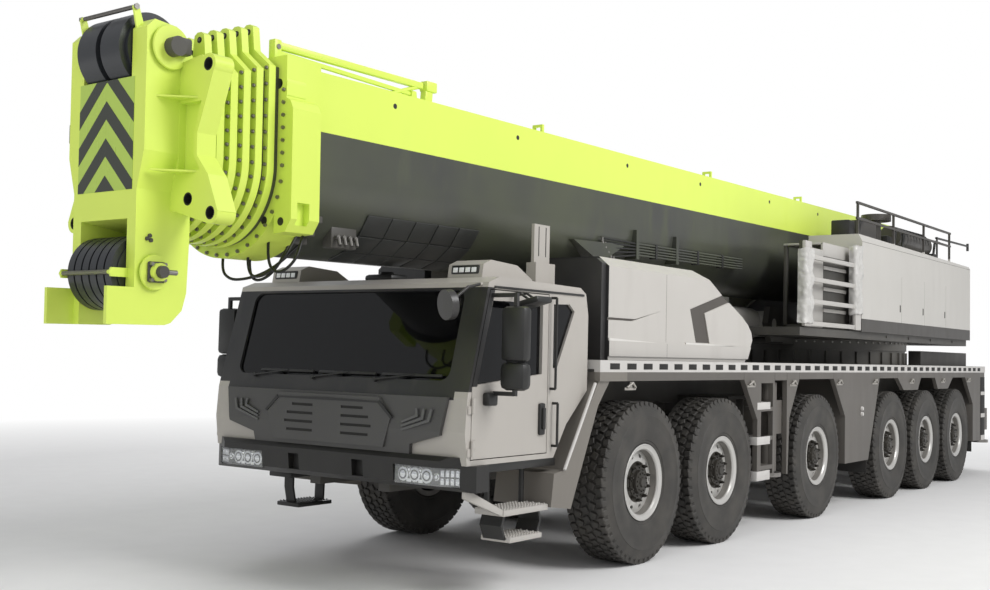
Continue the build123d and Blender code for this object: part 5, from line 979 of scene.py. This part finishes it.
# steel bushes in the side brackets' pin holes, their walls black and matt
WING_REAR = 14.115
bm = bmesh.new()
for sign in (1, -1):
    for y, v in ((0.700, 0.667), (0.750, -0.322), (0.523, -0.219)):
        before = set(bm.verts)
        turned(bm, [(0.036, 0.0), (0.0445, 0.0), (0.0445, 0.158), (0.036, 0.158)], 0, 28)
        ring = [vert for vert in bm.verts if vert not in before]
        swing(bm, ring, math.radians(-90), "Z")
        bmesh.ops.translate(bm, verts=ring, vec=(WING_REAR + 0.001, sign * y, v))
piece("pin_bushes", bm, "boom_head", "steel", dark_rubber_and_shade, place=BOOM)

# head: chevron panel on its front, boss and cap of the upper axle, bolted hub of the lower one
HEAD_U = 14.55
PANEL_HALF, PANEL_LOW, PANEL_HIGH = 0.30, -0.1675, 0.5825
# retroreflective sheet, bright and smooth, with dark film on it for the chevrons
reflective_lime = painted("reflective_lime", "b4cf5a", "9fb35a", gloss=0.28, grime=0.08)
chevron_black = painted("chevron_black", "3a3d35", "55584c", gloss=0.3, grime=0.08)
bm = bmesh.new()
slab(bm, [(HEAD_U + 0.0002, y, v) for y, v in ((-PANEL_HALF, PANEL_LOW), (PANEL_HALF, PANEL_LOW),
                                               (PANEL_HALF, PANEL_HIGH), (-PANEL_HALF, PANEL_HIGH))],
     (0.0018, 0, 0))
piece("chevron_panel", bm, "boom_head", "lime_paint", reflective_lime, place=BOOM)
bm = bmesh.new()
for count in range(4):
    apex = PANEL_HIGH + 0.115 - 0.252 * count
    for sign in (1, -1):
        slab(bm, [(HEAD_U + 0.002, sign * y, v) for y, v in ((0.0, apex), (0.31, apex - 0.31),
                                                             (0.31, apex - 0.433), (0.0, apex - 0.123))],
             (0.0012, 0, 0))
for normal, place in (((0, 0, 1), (0, 0, PANEL_HIGH)), ((0, 0, -1), (0, 0, PANEL_LOW)),
                      ((0, 1, 0), (0, PANEL_HALF, 0)), ((0, -1, 0), (0, -PANEL_HALF, 0))):
    cut = bmesh.ops.bisect_plane(bm, geom=bm.verts[:] + bm.edges[:] + bm.faces[:], plane_co=place,
                                 plane_no=normal, clear_outer=True)
    rim = [e for e in cut["geom_cut"] if isinstance(e, bmesh.types.BMEdge)]
    bmesh.ops.holes_fill(bm, edges=rim, sides=0)
piece("chevrons", bm, "boom_head", "boom_grey", chevron_black, place=BOOM)

UPPER_U, UPPER_V, LOWER_U, LOWER_V = 14.37, 0.79, 14.405, -0.712   # the head's two sheave axles
bm = bmesh.new()
SHELF_U = 14.270
for sign in (1, -1):
    rod(bm, (UPPER_U, sign * 0.434, UPPER_V), (UPPER_U, sign * 0.446, UPPER_V), 0.150, 0, 40, tip=0.146)
    rod(bm, (LOWER_U, sign * 0.364, LOWER_V), (LOWER_U, sign * 0.376, LOWER_V), 0.120, 0, 36, tip=0.116)
    # shelves between the head's side and the jib brackets
    for v, front in ((0.45, 14.47), (-0.045, 14.50)):
        slab(bm, [(SHELF_U, sign * 0.41, v), (front, sign * 0.41, v), (SHELF_U, sign * 0.61, v)],
             (0, 0, 0.012))
piece("head_bosses", bm, "boom_head", "lime_paint", lime_enamel, place=BOOM)

bm = bmesh.new()
rod(bm, (UPPER_U, 0.44, UPPER_V), (UPPER_U, 0.520, UPPER_V), 0.066, 0, 32)
block(bm, (14.255, 0.445, 0.742), (14.385, 0.515, 0.858), 0.016)
block(bm, (14.335, 0.374, -0.782), (14.475, 0.398, -0.642), 0.012)
rod(bm, (LOWER_U, 0.39, LOWER_V), (LOWER_U, 0.470, LOWER_V), 0.046, 0, 28, tip=0.040)
rod(bm, (LOWER_U, 0.445, LOWER_V), (14.290, 0.445, LOWER_V), 0.018, 1, 16)
for u in (LOWER_U - 0.052, LOWER_U + 0.052):
    for v in (LOWER_V - 0.052, LOWER_V + 0.052):
        rod(bm, (u, 0.396, v), (u, 0.416, v), 0.014, 1, 6)
for u, v in ((14.44, -0.47), (14.46, -0.49), (14.43, -0.50)):
    rod(bm, (u, 0.343, v), (u, 0.358, v), 0.014, 0, 12)
block(bm, (14.42, -0.475, 0.20), (14.52, -0.414, 0.34), 0.010, 1)
piece("head_fittings", bm, "boom_head", "steel", frame_enamel, bare_steel, place=BOOM)

GUARD_U, GUARD_V = 14.555, 1.045
bm = bmesh.new()
rod(bm, (GUARD_U, -0.272, GUARD_V), (GUARD_U, 0.272, GUARD_V), 0.0135, 0, 16)
for count in range(60):
    # thread of the guard rods
    y = -0.27 + count * 0.009
    rod(bm, (GUARD_U, y, GUARD_V), (GUARD_U, y + 0.0045, GUARD_V), 0.0155, 0, 16)
    rod(bm, (14.680, y * 0.93, -0.72), (14.680, y * 0.93 + 0.0045, -0.72), 0.0155, 0, 16)
for y in (-0.31, 0.30):
    rod(bm, (GUARD_U, y, GUARD_V), (GUARD_U, y + 0.012, GUARD_V), 0.022, 0, 6)
piece("guard_rods", bm, "boom_head", "steel", bare_steel, place=BOOM)

bm = bmesh.new()
rod(bm, (14.16, 0.06, 0.875), (13.90, 0.06, 0.865), 0.042, 0, 24)
for count in range(12):
    u = 14.14 - count * 0.02
    rod(bm, (u, 0.06, 0.8743), (u - 0.009, 0.06, 0.8740), 0.047, 0, 24)
piece("ribbed_conduit", bm, "boom_head", "dark_plastic", dark_rubber_and_shade, place=BOOM)

# ---------------------------------------------------------------- lift cylinder
# A painted steel barrel; the rod in it is ground and hard chromed, so it mirrors its surroundings.
chrome = painted("hard_chrome", "b9bbbd", "8a8c8e", gloss=0.14, metal=1.0, grime=0.1)
finish_nodes(crane_cab_enamel, "pale_paint", "lift_cylinder_barrel")
finish_nodes(chrome, "chrome", "lift_cylinder_rod")
